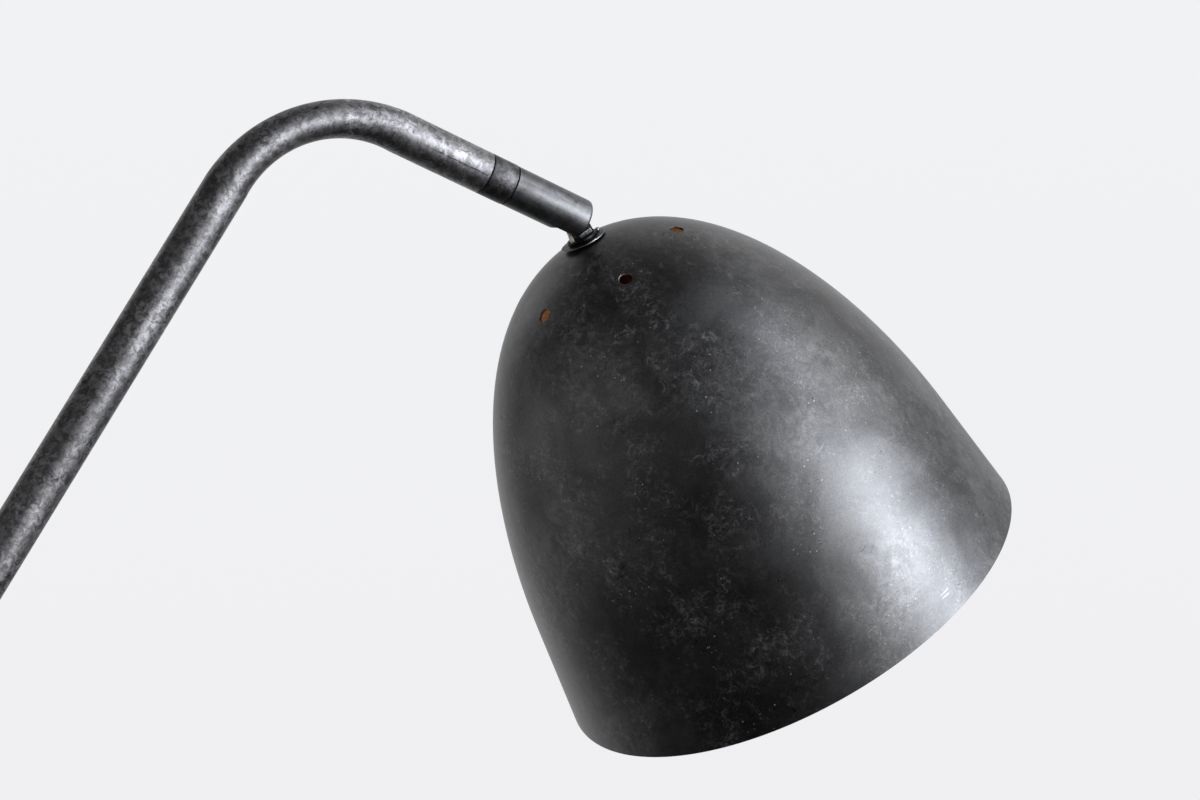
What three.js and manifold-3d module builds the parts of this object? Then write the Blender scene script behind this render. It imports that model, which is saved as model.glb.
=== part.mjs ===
// Arc floor lamp: a round steel base, a bent tube stand and a bell shade on a swivelling knuckle.
// Millimetres, +Z up. The origin is the middle of the base's underside, +X points to the shade.

import * as THREE from "three";
import { mergeVertices } from "three/addons/utils/BufferGeometryUtils.js";
import Module from "manifold-3d";

const wasm = await Module();
wasm.setup();

// ---------------------------------------------------------------- driving dimensions

// Clearances
const fitGap = 0.3; // round a piece and what it sits in
const faceGap = 0.15; // between faces that bear on each other
const seamGap = 0.6; // the dark line between two lengths of tube
const overrun = 1; // how far a cutter runs past the face it opens

// Base
const baseSides = 50;
const baseRadius = 160;
const baseThickness = 12;
const baseChamfer = 1.5;
const padThickness = 2;
const padMargin = 5;
const poleMargin = 65; // from the middle of the pole to the base's rear edge
const recessDepth = 8; // pocket for the foot nut, in the underside
const recessMargin = 2; // round the foot washer

// Foot of the pole
const footRadius = 17;
const footHeight = 12;
const footChamfer = 1;
const studRadius = 6;
const footWasherRadius = 12;
const footWasherThickness = 1.6;
const footNutHeight = 5;
const footNutHalfFlats = 9.3;
const spigotLength = 30; // how far each plug reaches into a tube

// Tubes
const tubeRadius = 11;
const tubeWall = 1.5;
const tubeSides = 24;
const poleLength = 590; // foot to coupling
const riserLength = 220; // coupling to the corner of the lower bend
const lowerBendRadius = 150;
const lean = THREE.MathUtils.degToRad(33.2); // of the long arm, from upright
const armLength = 725; // corner to corner
const upperBendRadius = 72;
const droop = THREE.MathUtils.degToRad(23.8); // of the arm's tip, below level
const tipLength = 112; // corner of the upper bend to the tube's end
const bendFlattening = 0.135; // of the tube's depth, at the middle of the upper bend
const collarLength = 14.5; // visible band of the coupling and of the end plug
const collarChamfer = 0.4;

// Cable and its bush
const cableRadius = 1.5;
const cableSides = 8;
const cableBend = 12; // bend radius through the knuckle
const wideCableBend = 20; // and where it turns out of the sleeve
const bushHeight = 45; // above the pole's foot
const bushFlangeRadius = 5.5;
const bushFlangeThickness = 1.5;
const bushWall = 1.4;

// Swivel
const stemRadius = 5;
const swivelWasherThickness = 0.5;
const swivelNutHeight = 4;
const swivelNutHalfFlats = 6.75;
const swivelWasherMargin = 0.6; // inside the sleeve's rim
const sleeveLength = 46;
const sleeveSlimness = 0.2; // how much thinner than the tube
const sleeveWall = 1.2;
const sleeveRounding = 2.2;
const forkFloor = 4; // wall that the stem passes through
const mouthWidth = 12.6; // opening in the sleeve's underside
const mouthLength = 15.8;
const mouthCeiling = 3; // below the sleeve's axis
const mouthTurn = THREE.MathUtils.degToRad(5); // the sleeve sits this much turned on the fork
const forkDepth = 8; // sleeve's axis to the flat under the cheeks
const bendStep = THREE.MathUtils.degToRad(8); // facets of a bend

// Knuckle
const pivotFromEnd = 7.9; // tilt axis to the sleeve's end
const pivotScrewRadius = 1.6;
const pivotHeadRadius = 2.8;
const pivotHeadHeight = 1.6;
const cheekThickness = 2.7;
const frictionWasherThickness = 0.5;
const frictionWasherRadius = 3.7;
const tongueThickness = 4;
const tongueHeadRadius = 3.6;
const tongueRear = 3.6; // tilt axis to the tongue's rear edge
const tongueFront = 6.2; // tilt axis to the tongue's front edge
const webLength = 2.5; // straight part of the tongue's front edge, above the shoulder
const shoulderTop = 10.9; // tilt axis to the shoulder
const shoulderHalfThickness = 4.4;
const shoulderFront = 4.4;
const bossTop = 13.1; // tilt axis to the boss
const bossHeight = 1.95;
const bossRadius = 8.3;
const bossOffset = 1; // middle of the boss and its washer, behind the tilt axis
const bossLean = THREE.MathUtils.degToRad(4); // they lie this much out of square with the tongue
const knuckleOffset = 1.5; // the shade's axis lies this far behind the tilt axis
const cableOffset = 5.1; // the cable enters the boss this far behind the shade's axis
const cableClearance = 5.5; // and passes the tongue this far behind the tilt axis
const cableLeave = 4.5; // its last turn before the boss, above it
const shankRadius = 7.3;
const shankLength = 22;
const shankBore = 4.2;
const cableMeetDepth = 8; // bossTop to where the cable's hole meets the bore
const rest = THREE.MathUtils.degToRad(33.9); // tilt of the shade from the sleeve's line

// Shade
const shadeDepth = 236;
const rimRadius = 136.5;
const shadeWall = 1;
const flareDepth = 60; // straight skirt above the rim
const flareSlope = 0.15;
const crownReach = 71.5; // how far the flat of the crown carries outwards
const flankReach = 86; // how far the line of the skirt carries upwards
const shadeSteps = 10;
const shadeSides = 52;
const ventRadius = 3.5;
const ventCount = 6;
const ventDepth = 15.2; // crown to the ring of vents
const ventPhase = THREE.MathUtils.degToRad(-20);
const crownWasherRadius = 12.5;
const crownWasherThickness = 0.5;
const crownGap = 0.3; // from the leaning washer to the middle of the crown
const backingRadius = 14;
const backingThickness = 1.5;
const crownScrewOffset = 10.3; // in front of the shade's axis
const crownScrewRadius = 1;
const crownScrewHeadRadius = 1.4;
const crownScrewHeadHeight = 1.4;
const crownScrewLength = 5.5;
const ringNutHeight = 4;
const ringNutWall = 1.6;

// Lampholder and bulb
const holderNeckLength = 9;
const holderShoulder = 6; // taper of the skirt's top
const holderEdge = 1; // chamfer of its lip, and how far the cap stands in from it
const holderNeckRound = 4; // how far the cap's shoulder carries on from its neck
const holderWall = 1.8;
const holderRadius = 19.5;
const holderCapLength = 20;
const holderBodyLength = 34;
const blockThickness = 8;
const blockLedge = 3; // step between the block's flange and its top
const shellRadius = 13.9;
const shellWall = 0.5;
const shellLength = 22;
const contactRadius = 3;
const contactHeight = 2;
const bulbCapRadius = 13;
const bulbCapWall = 0.4;
const bulbCapLength = 25;
const bulbThreads = 4;
const bulbThreadDepth = 0.35;
const bulbThreadMargin = 2; // plain rim over the thread
const bulbTaper = 4; // under the thread
const bulbRadius = 30;
const bulbWall = 0.8;
const bulbLength = 80; // glass outside its cap
const bulbNeckLength = 6; // glass inside its cap

// ---------------------------------------------------------------- finishes

const finish = (color, roughness, metalness) => () =>
  new THREE.MeshStandardMaterial({ color, roughness, metalness });
const blackenedSteel = finish(0x2b2b2d, 0.42, 0.85);
const brushedSteel = finish(0x3a3b3f, 0.35, 0.9);
const platedSteel = finish(0xb9bbbd, 0.3, 1);
const brass = finish(0xc9a34e, 0.3, 1);
const blackFibre = finish(0x151515, 0.8, 0);
const blackRubber = finish(0x1a1a1a, 0.85, 0);
const greyFelt = finish(0x3c3c3e, 0.95, 0);
const blackPhenolic = finish(0x171717, 0.35, 0);
const whiteCeramic = finish(0xe9e6df, 0.4, 0);
const clearLead = finish(0xb79a76, 0.4, 0);
const opalGlass = finish(0xfff3dd, 0.15, 0);

// ---------------------------------------------------------------- solids

// A closed geometry as a solid that can be joined and cut.
function solidOf(geometry) {
  const bare = geometry.clone();
  bare.deleteAttribute("normal");
  bare.deleteAttribute("uv");
  const merged = mergeVertices(bare);
  const mesh = new wasm.Mesh({
    numProp: 3,
    vertProperties: Float32Array.from(merged.attributes.position.array),
    triVerts: Uint32Array.from(merged.index.array),
  });
  return new wasm.Manifold(mesh);
}

function geometryOf(solid) {
  const mesh = solid.getMesh();
  const geometry = new THREE.BufferGeometry();
  geometry.setAttribute("position", new THREE.BufferAttribute(Float32Array.from(mesh.vertProperties), 3));
  geometry.setIndex(new THREE.BufferAttribute(Uint32Array.from(mesh.triVerts), 1));
  geometry.computeVertexNormals();
  return geometry;
}

function cut(geometry, ...tools) {
  return geometryOf(tools.reduce((solid, tool) => solid.subtract(solidOf(tool)), solidOf(geometry)));
}

function join(geometry, ...others) {
  return geometryOf(others.reduce((solid, other) => solid.add(solidOf(other)), solidOf(geometry)));
}

// A profile of [radius, height] pairs, walked with the solid on its left, turned about Z.
function turned(profile, sides = 20) {
  const points = profile.map(([radius, height]) => new THREE.Vector2(radius, height));
  return new THREE.LatheGeometry(points, sides).rotateX(Math.PI / 2);
}

function rod(radius, low, high, sides = 20) {
  return new THREE.CylinderGeometry(radius, radius, high - low, sides)
    .rotateX(Math.PI / 2)
    .translate(0, 0, (low + high) / 2);
}

function ring(outer, inner, low, high, sides = 20) {
  return turned([[inner, low], [outer, low], [outer, high], [inner, high], [inner, low]], sides);
}

// A disc whose outer edges are broken by a chamfer.
function chamferedRing(outer, inner, low, high, chamfer, sides = 30) {
  return turned(
    [
      [inner, low],
      [outer - chamfer, low],
      [outer, low + chamfer],
      [outer, high - chamfer],
      [outer - chamfer, high],
      [inner, high],
      [inner, low],
    ],
    sides,
  );
}

function hexNut(boltRadius, halfFlats, low, high) {
  const hexagon = rod(halfFlats / Math.cos(Math.PI / 6), low, high, 6);
  return cut(hexagon, rod(boltRadius, low - overrun, high + overrun));
}

function block(x0, x1, y0, y1, z0, z1) {
  const box = new THREE.BoxGeometry(x1 - x0, y1 - y0, z1 - z0);
  return box.translate((x0 + x1) / 2, (y0 + y1) / 2, (z0 + z1) / 2);
}

// ---------------------------------------------------------------- bent tube in the XZ plane

// Stations along a line of corners whose corners are rounded by the given radii. Each station has its
// place, its heading above the X axis and, in a bend, how far through the bend it lies, from 0 to 1.
function bentPath(corners, radii) {
  const stations = [];
  const turnedBy = (x, y, angle) => new THREE.Vector2(x, y).rotateAround(new THREE.Vector2(), angle);
  const headings = corners.slice(1).map((corner, i) => corner.clone().sub(corners[i]).angle());
  const at = (point, heading, share, bend) => stations.push({ point, heading, share, bend });
  at(corners[0], headings[0], 0, -1);
  for (let i = 1; i < corners.length - 1; i++) {
    const radius = radii[i - 1];
    const before = headings[i - 1];
    const turn = THREE.MathUtils.euclideanModulo(headings[i] - before + Math.PI, 2 * Math.PI) - Math.PI;
    const reach = radius * Math.tan(Math.abs(turn) / 2);
    const start = corners[i].clone().sub(turnedBy(reach, 0, before));
    const centre = start.clone().add(turnedBy(0, Math.sign(turn) * radius, before));
    const steps = Math.ceil(Math.abs(turn) / bendStep);
    for (let k = 0; k <= steps; k++) {
      const share = k / steps;
      at(start.clone().rotateAround(centre, turn * share), before + turn * share, share, i - 1);
    }
  }
  at(corners[corners.length - 1], headings[headings.length - 1], 0, -1);
  return stations;
}

// A tube swept along the stations, solid if its bore is 0. depthAt gives the share of its depth,
// in the plane of the bend, that it keeps at a station.
function sweptTube(stations, radius, bore, sides, depthAt = () => 1) {
  const radii = bore > 0 ? [radius, bore] : [radius];
  const positions = [];
  for (const shell of radii) {
    for (const station of stations) {
      const depth = shell * depthAt(station);
      for (let k = 0; k < sides; k++) {
        const angle = (2 * Math.PI * k) / sides;
        const across = depth * Math.cos(angle);
        positions.push(
          station.point.x - across * Math.sin(station.heading),
          -shell * Math.sin(angle),
          station.point.y + across * Math.cos(station.heading),
        );
      }
    }
  }
  const rings = stations.length;
  const last = rings - 1;
  const index = [];
  const quad = (a, b, c, d) => index.push(a, b, c, a, c, d);
  const vertex = (shell, row, k) => (shell * rings + row) * sides + (k % sides);
  for (let k = 0; k < sides; k++) {
    for (let row = 0; row < last; row++) {
      quad(vertex(0, row, k), vertex(0, row, k + 1), vertex(0, row + 1, k + 1), vertex(0, row + 1, k));
      if (bore > 0) {
        quad(vertex(1, row, k + 1), vertex(1, row, k), vertex(1, row + 1, k), vertex(1, row + 1, k + 1));
      }
    }
    if (bore > 0) {
      quad(vertex(1, 0, k), vertex(1, 0, k + 1), vertex(0, 0, k + 1), vertex(0, 0, k));
      quad(vertex(0, last, k), vertex(0, last, k + 1), vertex(1, last, k + 1), vertex(1, last, k));
    } else if (k > 0 && k < sides - 1) {
      index.push(vertex(0, 0, 0), vertex(0, 0, k + 1), vertex(0, 0, k));
      index.push(vertex(0, last, 0), vertex(0, last, k), vertex(0, last, k + 1));
    }
  }
  const geometry = new THREE.BufferGeometry();
  geometry.setAttribute("position", new THREE.BufferAttribute(Float32Array.from(positions), 3));
  geometry.setIndex(index);
  geometry.computeVertexNormals();
  return geometry;
}

// ---------------------------------------------------------------- heights and corners of the stand

const baseBottom = padThickness;
const baseTop = baseBottom + baseThickness;
const poleBottom = baseTop + footHeight + seamGap;
const poleTop = poleBottom + poleLength;
const armBottom = poleTop + collarLength + 2 * seamGap;
const poleX = poleMargin - baseRadius;
const tubeBore = tubeRadius - tubeWall;
const plugRadius = tubeBore - fitGap;
const cableBore = cableRadius + fitGap;

const armHeading = Math.PI / 2 - lean;
const lowerCorner = new THREE.Vector2(poleX, armBottom + riserLength);
const alongArm = new THREE.Vector2(Math.cos(armHeading), Math.sin(armHeading));
const alongTip = new THREE.Vector2(Math.cos(-droop), Math.sin(-droop));
const upperCorner = lowerCorner.clone().addScaledVector(alongArm, armLength);
const armEnd = upperCorner.clone().addScaledVector(alongTip, tipLength);

// ---------------------------------------------------------------- stand

const recessTop = baseBottom + recessDepth;
const recessRadius = footWasherRadius + recessMargin;

function basePlate() {
  const plate = chamferedRing(baseRadius, 0, baseBottom, baseTop, baseChamfer, baseSides);
  const hole = rod(studRadius + fitGap, baseBottom - overrun, baseTop + overrun).translate(poleX, 0, 0);
  const recess = rod(recessRadius, baseBottom - overrun, recessTop, 32).translate(poleX, 0, 0);
  return cut(plate, hole, recess);
}

function basePad() {
  const pad = rod(baseRadius - padMargin, 0, baseBottom, baseSides);
  return cut(pad, rod(recessRadius, -overrun, baseBottom + overrun, 32).translate(poleX, 0, 0));
}

// Collar that the pole stands on, its plug up in the pole and its stud down through the base.
function poleFoot() {
  const plugTop = poleBottom + spigotLength;
  const studBottom = recessTop - footWasherThickness - footNutHeight - overrun;
  return turned([
    [0, studBottom],
    [studRadius, studBottom],
    [studRadius, baseTop],
    [footRadius, baseTop],
    [footRadius, baseTop + footHeight - footChamfer],
    [footRadius - footChamfer, baseTop + footHeight],
    [plugRadius, baseTop + footHeight],
    [plugRadius, plugTop - collarChamfer],
    [plugRadius - collarChamfer, plugTop],
    [0, plugTop],
  ]).translate(poleX, 0, 0);
}

function footWasher() {
  const top = recessTop - faceGap;
  return ring(footWasherRadius, studRadius + fitGap, top - footWasherThickness, top).translate(poleX, 0, 0);
}

function footNut() {
  const top = recessTop - 2 * faceGap - footWasherThickness;
  return hexNut(studRadius + fitGap, footNutHalfFlats, top - footNutHeight, top).translate(poleX, 0, 0);
}

const bushZ = poleBottom + spigotLength + bushHeight;

// Turns a solid made about Z so that it lies along X, its low end outside the rear of the pole.
function throughPoleRear(geometry) {
  return geometry.rotateY(Math.PI / 2).translate(poleX, 0, bushZ);
}

function lowerPole() {
  const tube = ring(tubeRadius, tubeBore, poleBottom, poleTop, tubeSides).translate(poleX, 0, 0);
  const bushHole = throughPoleRear(rod(cableBore + bushWall + fitGap, -2 * tubeRadius, 0, 16));
  return cut(tube, bushHole);
}

function cableBush() {
  const neck = cableBore + bushWall;
  const outer = -tubeRadius - fitGap;
  const inner = -tubeBore + overrun;
  return throughPoleRear(
    turned(
      [
        [cableBore, outer - bushFlangeThickness],
        [bushFlangeRadius - collarChamfer, outer - bushFlangeThickness],
        [bushFlangeRadius, outer - bushFlangeThickness + collarChamfer],
        [bushFlangeRadius, outer],
        [neck, outer],
        [neck, inner],
        [cableBore, inner],
        [cableBore, outer - bushFlangeThickness],
      ],
      16,
    ),
  );
}

// Band between two lengths of tube, with a hollow plug in each.
function poleCoupling() {
  const bandBottom = poleTop + seamGap;
  const bandTop = bandBottom + collarLength;
  const plugBottom = poleTop - spigotLength;
  const plugTop = bandTop + seamGap + spigotLength;
  return turned(
    [
      [cableBore, plugBottom],
      [plugRadius, plugBottom],
      [plugRadius, bandBottom],
      [tubeRadius - collarChamfer, bandBottom],
      [tubeRadius, bandBottom + collarChamfer],
      [tubeRadius, bandTop - collarChamfer],
      [tubeRadius - collarChamfer, bandTop],
      [plugRadius, bandTop],
      [plugRadius, plugTop],
      [cableBore, plugTop],
      [cableBore, plugBottom],
    ],
    tubeSides,
  ).translate(poleX, 0, 0);
}

// The tube is pressed a little flat on the upper bend, most at its middle.
function keptDepth(station) {
  return station.bend === 1 ? 1 - bendFlattening * Math.sin(Math.PI * station.share) ** 0.8 : 1;
}

function upperArm() {
  const corners = [new THREE.Vector2(poleX, armBottom), lowerCorner, upperCorner, armEnd];
  const stations = bentPath(corners, [lowerBendRadius, upperBendRadius]);
  return sweptTube(stations, tubeRadius, tubeBore, tubeSides, keptDepth);
}

// ---------------------------------------------------------------- arm end, in its own frame

// The frame of the arm's end: +Z runs on along the tube from its cut end, +X points to the underside.
const swivelWasherZ = collarLength + seamGap + faceGap;
const sleeveStart = swivelWasherZ + swivelWasherThickness + faceGap;
const sleeveEnd = sleeveStart + sleeveLength;
const sleeveRadius = tubeRadius - sleeveSlimness;
const sleeveBore = sleeveRadius - sleeveWall;
const forkRadius = sleeveBore - fitGap;
const forkEnd = sleeveEnd - sleeveWall - fitGap;
const chamberStart = sleeveStart + forkFloor;
const chamberEnd = sleeveEnd - mouthLength - overrun;
const stemEnd = chamberStart + faceGap + swivelNutHeight + overrun;
const pivotZ = sleeveEnd - pivotFromEnd;
const tongueSlot = tongueThickness / 2 + frictionWasherThickness + 2 * faceGap;

// Plug welded in the tube's end: band, hollow plug behind it and hollow threaded stem before it.
function armEndPlug() {
  const bandStart = seamGap;
  const bandEnd = bandStart + collarLength;
  return turned(
    [
      [cableBore, -spigotLength],
      [plugRadius, -spigotLength],
      [plugRadius, bandStart],
      [tubeRadius - collarChamfer, bandStart],
      [tubeRadius, bandStart + collarChamfer],
      [tubeRadius, bandEnd - collarChamfer],
      [tubeRadius - collarChamfer, bandEnd],
      [stemRadius, bandEnd],
      [stemRadius, stemEnd],
      [cableBore, stemEnd],
      [cableBore, -spigotLength],
    ],
    tubeSides,
  );
}

function swivelWasher() {
  const outer = sleeveRadius - swivelWasherMargin;
  return ring(outer, stemRadius + fitGap, swivelWasherZ, swivelWasherZ + swivelWasherThickness);
}

function swivelNut() {
  const low = chamberStart + faceGap;
  return hexNut(stemRadius + fitGap / 2, swivelNutHalfFlats, low, low + swivelNutHeight);
}

// Slab under a ceiling below the axis, whose rear end, seen from below, is round.
function mouthCutter(ceiling) {
  const half = mouthWidth / 2;
  const start = sleeveEnd - mouthLength + half;
  const end = sleeveEnd + overrun;
  const shape = new THREE.Shape();
  shape.moveTo(end, -half);
  shape.lineTo(end, half);
  shape.lineTo(start, half);
  shape.absarc(start, 0, half, Math.PI / 2, (3 * Math.PI) / 2, false);
  const settings = { depth: 2 * tubeRadius, bevelEnabled: false, curveSegments: 10 };
  const slab = new THREE.ExtrudeGeometry(shape, settings);
  const forward = new THREE.Vector3(0, 0, 1);
  const sideways = new THREE.Vector3(0, -1, 0);
  const down = new THREE.Vector3(1, 0, 0);
  slab.applyMatrix4(new THREE.Matrix4().makeBasis(forward, sideways, down));
  return slab.translate(ceiling, 0, 0);
}

// Slot for the tongue, open below and at the end, up to the height that the raised shade needs.
function tongueCutter(start) {
  return block(-tongueFront - fitGap, 2 * tubeRadius, -tongueSlot, tongueSlot, start, sleeveEnd + overrun);
}

function swivelSleeve() {
  const r = sleeveRounding;
  const corner = [];
  for (let k = 0; k <= 4; k++) {
    const angle = (k / 4) * (Math.PI / 2);
    corner.push([sleeveRadius - r + r * Math.cos(angle), sleeveEnd - r + r * Math.sin(angle)]);
  }
  const cup = turned(
    [
      [sleeveBore, sleeveStart],
      [sleeveRadius, sleeveStart],
      ...corner,
      [0, sleeveEnd],
      [0, sleeveEnd - sleeveWall],
      [sleeveBore, sleeveEnd - sleeveWall],
      [sleeveBore, sleeveStart],
    ],
    tubeSides,
  );
  const mouth = mouthCutter(mouthCeiling).rotateZ(mouthTurn);
  return cut(cup, mouth, tongueCutter(sleeveEnd - sleeveWall - fitGap));
}

// Solid plug in the sleeve, turning on the stem: a chamber for the nut, then two cheeks for the tongue.
function swivelFork() {
  const body = rod(forkRadius, sleeveStart + faceGap, forkEnd, tubeSides);
  const stemHole = rod(stemRadius + fitGap, sleeveStart - overrun, chamberStart + overrun);
  const chamber = rod(forkRadius - sleeveWall, chamberStart, chamberEnd);
  const screwHole = acrossPivot(rod(pivotScrewRadius + fitGap, -tubeRadius, tubeRadius, 16), 1);
  const pocket = () => rod(pivotHeadRadius + fitGap, tongueSlot + cheekThickness, tubeRadius, 16);
  const pockets = [acrossPivot(pocket(), 1), acrossPivot(pocket(), -1)];
  const openings = [mouthCutter(forkDepth), tongueCutter(chamberEnd - overrun)];
  return cut(body, stemHole, chamber, screwHole, ...pockets, ...openings);
}

function acrossPivot(geometry, side) {
  return geometry.rotateX(side * (Math.PI / 2)).translate(0, 0, pivotZ);
}

function pivotScrew() {
  const seat = tongueSlot + cheekThickness + faceGap;
  return acrossPivot(
    turned(
      [
        [0, -seat - pivotHeadHeight],
        [pivotScrewRadius, -seat - pivotHeadHeight],
        [pivotScrewRadius, seat],
        [pivotHeadRadius, seat],
        [pivotHeadRadius, seat + pivotHeadHeight - collarChamfer],
        [pivotHeadRadius - collarChamfer, seat + pivotHeadHeight],
        [0, seat + pivotHeadHeight],
      ],
      16,
    ),
    1,
  );
}

function pivotNut() {
  const seat = tongueSlot + cheekThickness + faceGap;
  const halfFlats = pivotHeadRadius * Math.cos(Math.PI / 6);
  return acrossPivot(hexNut(pivotScrewRadius + fitGap / 2, halfFlats, seat, seat + pivotHeadHeight), -1);
}

function frictionWasher(side) {
  const low = tongueThickness / 2 + faceGap;
  const high = low + frictionWasherThickness;
  return acrossPivot(ring(frictionWasherRadius, pivotScrewRadius + fitGap, low, high, 16), side);
}

// ---------------------------------------------------------------- head, in its own frame

// The frame of the head: the origin is on the tilt axis, +Z runs down the shade, +X points to the
// rear. The shade's own axis lies knuckleOffset behind the tilt axis.
const bossBottom = bossTop + bossHeight;
const crownWasherTop = bossBottom + faceGap;
const crownZ = crownWasherTop + crownWasherThickness + crownGap;
const shankEnd = bossBottom + shankLength;
const shadeRimZ = crownZ + shadeDepth;
const onShadeAxis = (geometry) => geometry.translate(knuckleOffset, 0, 0);

// The boss and its washer lean towards the front, on a middle of their own.
function leaning(geometry) {
  return geometry
    .translate(0, 0, -crownWasherTop)
    .rotateY(bossLean)
    .translate(bossOffset, 0, crownWasherTop);
}

// The cable goes into the boss behind the tongue and slants to the middle of the shank.
const cableEntry = new THREE.Vector3(knuckleOffset + cableOffset, 0, bossTop);
const cableMeet = new THREE.Vector3(knuckleOffset + cableOffset / 3, 0, bossTop + cableMeetDepth);

// Rod between two points of the XZ plane, carried on past both.
function slantedRod(from, to, radius, extra, sides) {
  const along = to.clone().sub(from);
  const length = along.length();
  return rod(radius, -extra, length + extra, sides)
    .rotateY(Math.atan2(along.x, along.z))
    .translate(from.x, from.y, from.z);
}

// Side view of the tongue: a round head on the tilt axis, then a web that widens to the front.
function tongueOutline(end) {
  const rearTurn = -0.5;
  const frontTurn = 0.35 - Math.PI;
  const outline = new THREE.Shape();
  outline.moveTo(tongueRear, 0);
  outline.absarc(0, 0, tongueHeadRadius, rearTurn, frontTurn, true);
  outline.lineTo(-tongueFront, shoulderTop - webLength);
  outline.lineTo(-tongueFront, end);
  outline.lineTo(tongueRear, end);
  outline.closePath();
  return outline;
}

// Tongue, shoulder, boss and hollow threaded shank in one piece.
function knuckle() {
  const inBoss = bossTop + bossHeight / 2;
  const half = shoulderHalfThickness;
  const boss = leaning(rod(bossRadius, bossTop, bossBottom));
  const shank = onShadeAxis(rod(shankRadius, inBoss, shankEnd, 24));
  const shoulder = block(-shoulderFront, tongueRear, -half, half, shoulderTop, inBoss);
  const settings = { depth: tongueThickness, bevelEnabled: false, curveSegments: 12 };
  const tongue = new THREE.ExtrudeGeometry(tongueOutline(inBoss), settings);
  tongue.rotateX(Math.PI / 2).translate(0, tongueThickness / 2, 0);
  const pivotHole = rod(pivotScrewRadius + fitGap, -tubeRadius, tubeRadius, 16).rotateX(Math.PI / 2);
  const bore = onShadeAxis(rod(shankBore, bossBottom + overrun, shankEnd + overrun));
  const cableHole = slantedRod(cableEntry, cableMeet, cableBore + fitGap, 2 * bossHeight, 16);
  return cut(join(boss, shank, shoulder, tongue), pivotHole, bore, cableHole);
}

function crownScrewHole(low, high) {
  return rod(crownScrewRadius + fitGap, low, high, 12).translate(-crownScrewOffset, 0, 0);
}

function crownWasher() {
  const washer = chamferedRing(
    crownWasherRadius,
    shankRadius + fitGap,
    crownWasherTop,
    crownWasherTop + crownWasherThickness,
    crownWasherThickness / 4,
  );
  const shankHole = rod(shankRadius + fitGap, bossTop, crownZ + overrun);
  const screwHole = crownScrewHole(bossTop, crownZ + overrun);
  return cut(leaning(washer), onShadeAxis(shankHole), onShadeAxis(screwHole));
}

// Outside of the shade, from the crown to the rim: a dome that runs into a straight, flared skirt.
function shadeOutline() {
  const skirtRadius = rimRadius - flareSlope * flareDepth;
  const skirtTop = shadeDepth - flareDepth;
  return new THREE.CubicBezierCurve(
    new THREE.Vector2(0, 0),
    new THREE.Vector2(crownReach, 0),
    new THREE.Vector2(skirtRadius - flareSlope * flankReach, skirtTop - flankReach),
    new THREE.Vector2(skirtRadius, skirtTop),
  );
}

// Place and outward normal of the shade's outside at a depth below the crown.
function shadePointAt(depth) {
  const curve = shadeOutline();
  let low = 0;
  let high = 1;
  for (let k = 0; k < 40; k++) {
    const middle = (low + high) / 2;
    if (curve.getPoint(middle).y < depth) low = middle;
    else high = middle;
  }
  const tangent = curve.getTangent(low);
  return { radius: curve.getPoint(low).x, normal: new THREE.Vector2(tangent.y, -tangent.x) };
}

// Half sections of the shade's two faces, from the axis to the rim.
function shadeFaces() {
  const curve = shadeOutline();
  const outer = [];
  const inner = [];
  for (let k = 0; k <= shadeSteps; k++) {
    const point = curve.getPoint(k / shadeSteps);
    const tangent = curve.getTangent(k / shadeSteps);
    outer.push([point.x, crownZ + point.y]);
    inner.push([Math.max(0, point.x - shadeWall * tangent.y), crownZ + point.y + shadeWall * tangent.x]);
  }
  outer.push([rimRadius, shadeRimZ]);
  inner.push([rimRadius - shadeWall, shadeRimZ]);
  return { outer, inner };
}

function shade() {
  const { outer, inner } = shadeFaces();
  const shell = turned([...outer, ...inner.reverse()], shadeSides);
  const vents = [];
  const spot = shadePointAt(ventDepth);
  for (let k = 0; k < ventCount; k++) {
    const vent = rod(ventRadius, -4 * shadeWall, 4 * shadeWall, 12)
      .rotateY(Math.atan2(spot.normal.x, spot.normal.y))
      .translate(spot.radius, 0, crownZ + ventDepth)
      .rotateZ(ventPhase + (2 * Math.PI * k) / ventCount);
    vents.push(vent);
  }
  const holesEnd = crownZ + 4 * shadeWall;
  const centreHole = rod(shankRadius + fitGap, crownZ - overrun, holesEnd);
  return onShadeAxis(cut(shell, centreHole, crownScrewHole(crownZ - overrun, holesEnd), ...vents));
}

// Height of the shade's inner face at a distance from its axis.
function insideAt(radius) {
  const { inner } = shadeFaces();
  const next = inner.findIndex((point) => point[0] > radius);
  const share = (radius - inner[next - 1][0]) / (inner[next][0] - inner[next - 1][0]);
  return THREE.MathUtils.lerp(inner[next - 1][1], inner[next][1], share);
}

const backingTop = insideAt(backingRadius) + faceGap;
const ringNutTop = backingTop + backingThickness + faceGap;
const holderTop = ringNutTop + ringNutHeight + faceGap;

function backingWasher() {
  const end = backingTop + backingThickness;
  const washer = ring(backingRadius, shankRadius + fitGap, backingTop, end);
  return onShadeAxis(cut(washer, crownScrewHole(backingTop - overrun, end + overrun)));
}

function ringNut() {
  const radius = shankRadius + fitGap / 2;
  return onShadeAxis(hexNut(radius, radius + ringNutWall, ringNutTop, ringNutTop + ringNutHeight));
}

function crownScrew() {
  const fall = (crownScrewOffset - knuckleOffset + bossOffset) * Math.tan(bossLean);
  const head = crownWasherTop + fall - 2 * faceGap;
  return turned(
    [
      [0, head - crownScrewHeadHeight],
      [crownScrewHeadRadius * 0.7, head - crownScrewHeadHeight],
      [crownScrewHeadRadius, head - crownScrewHeadHeight * 0.55],
      [crownScrewHeadRadius, head],
      [crownScrewRadius, head],
      [crownScrewRadius, head + crownScrewLength],
      [0, head + crownScrewLength],
    ],
    12,
  ).translate(knuckleOffset - crownScrewOffset, 0, 0);
}

// ---------------------------------------------------------------- lampholder and bulb

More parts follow.
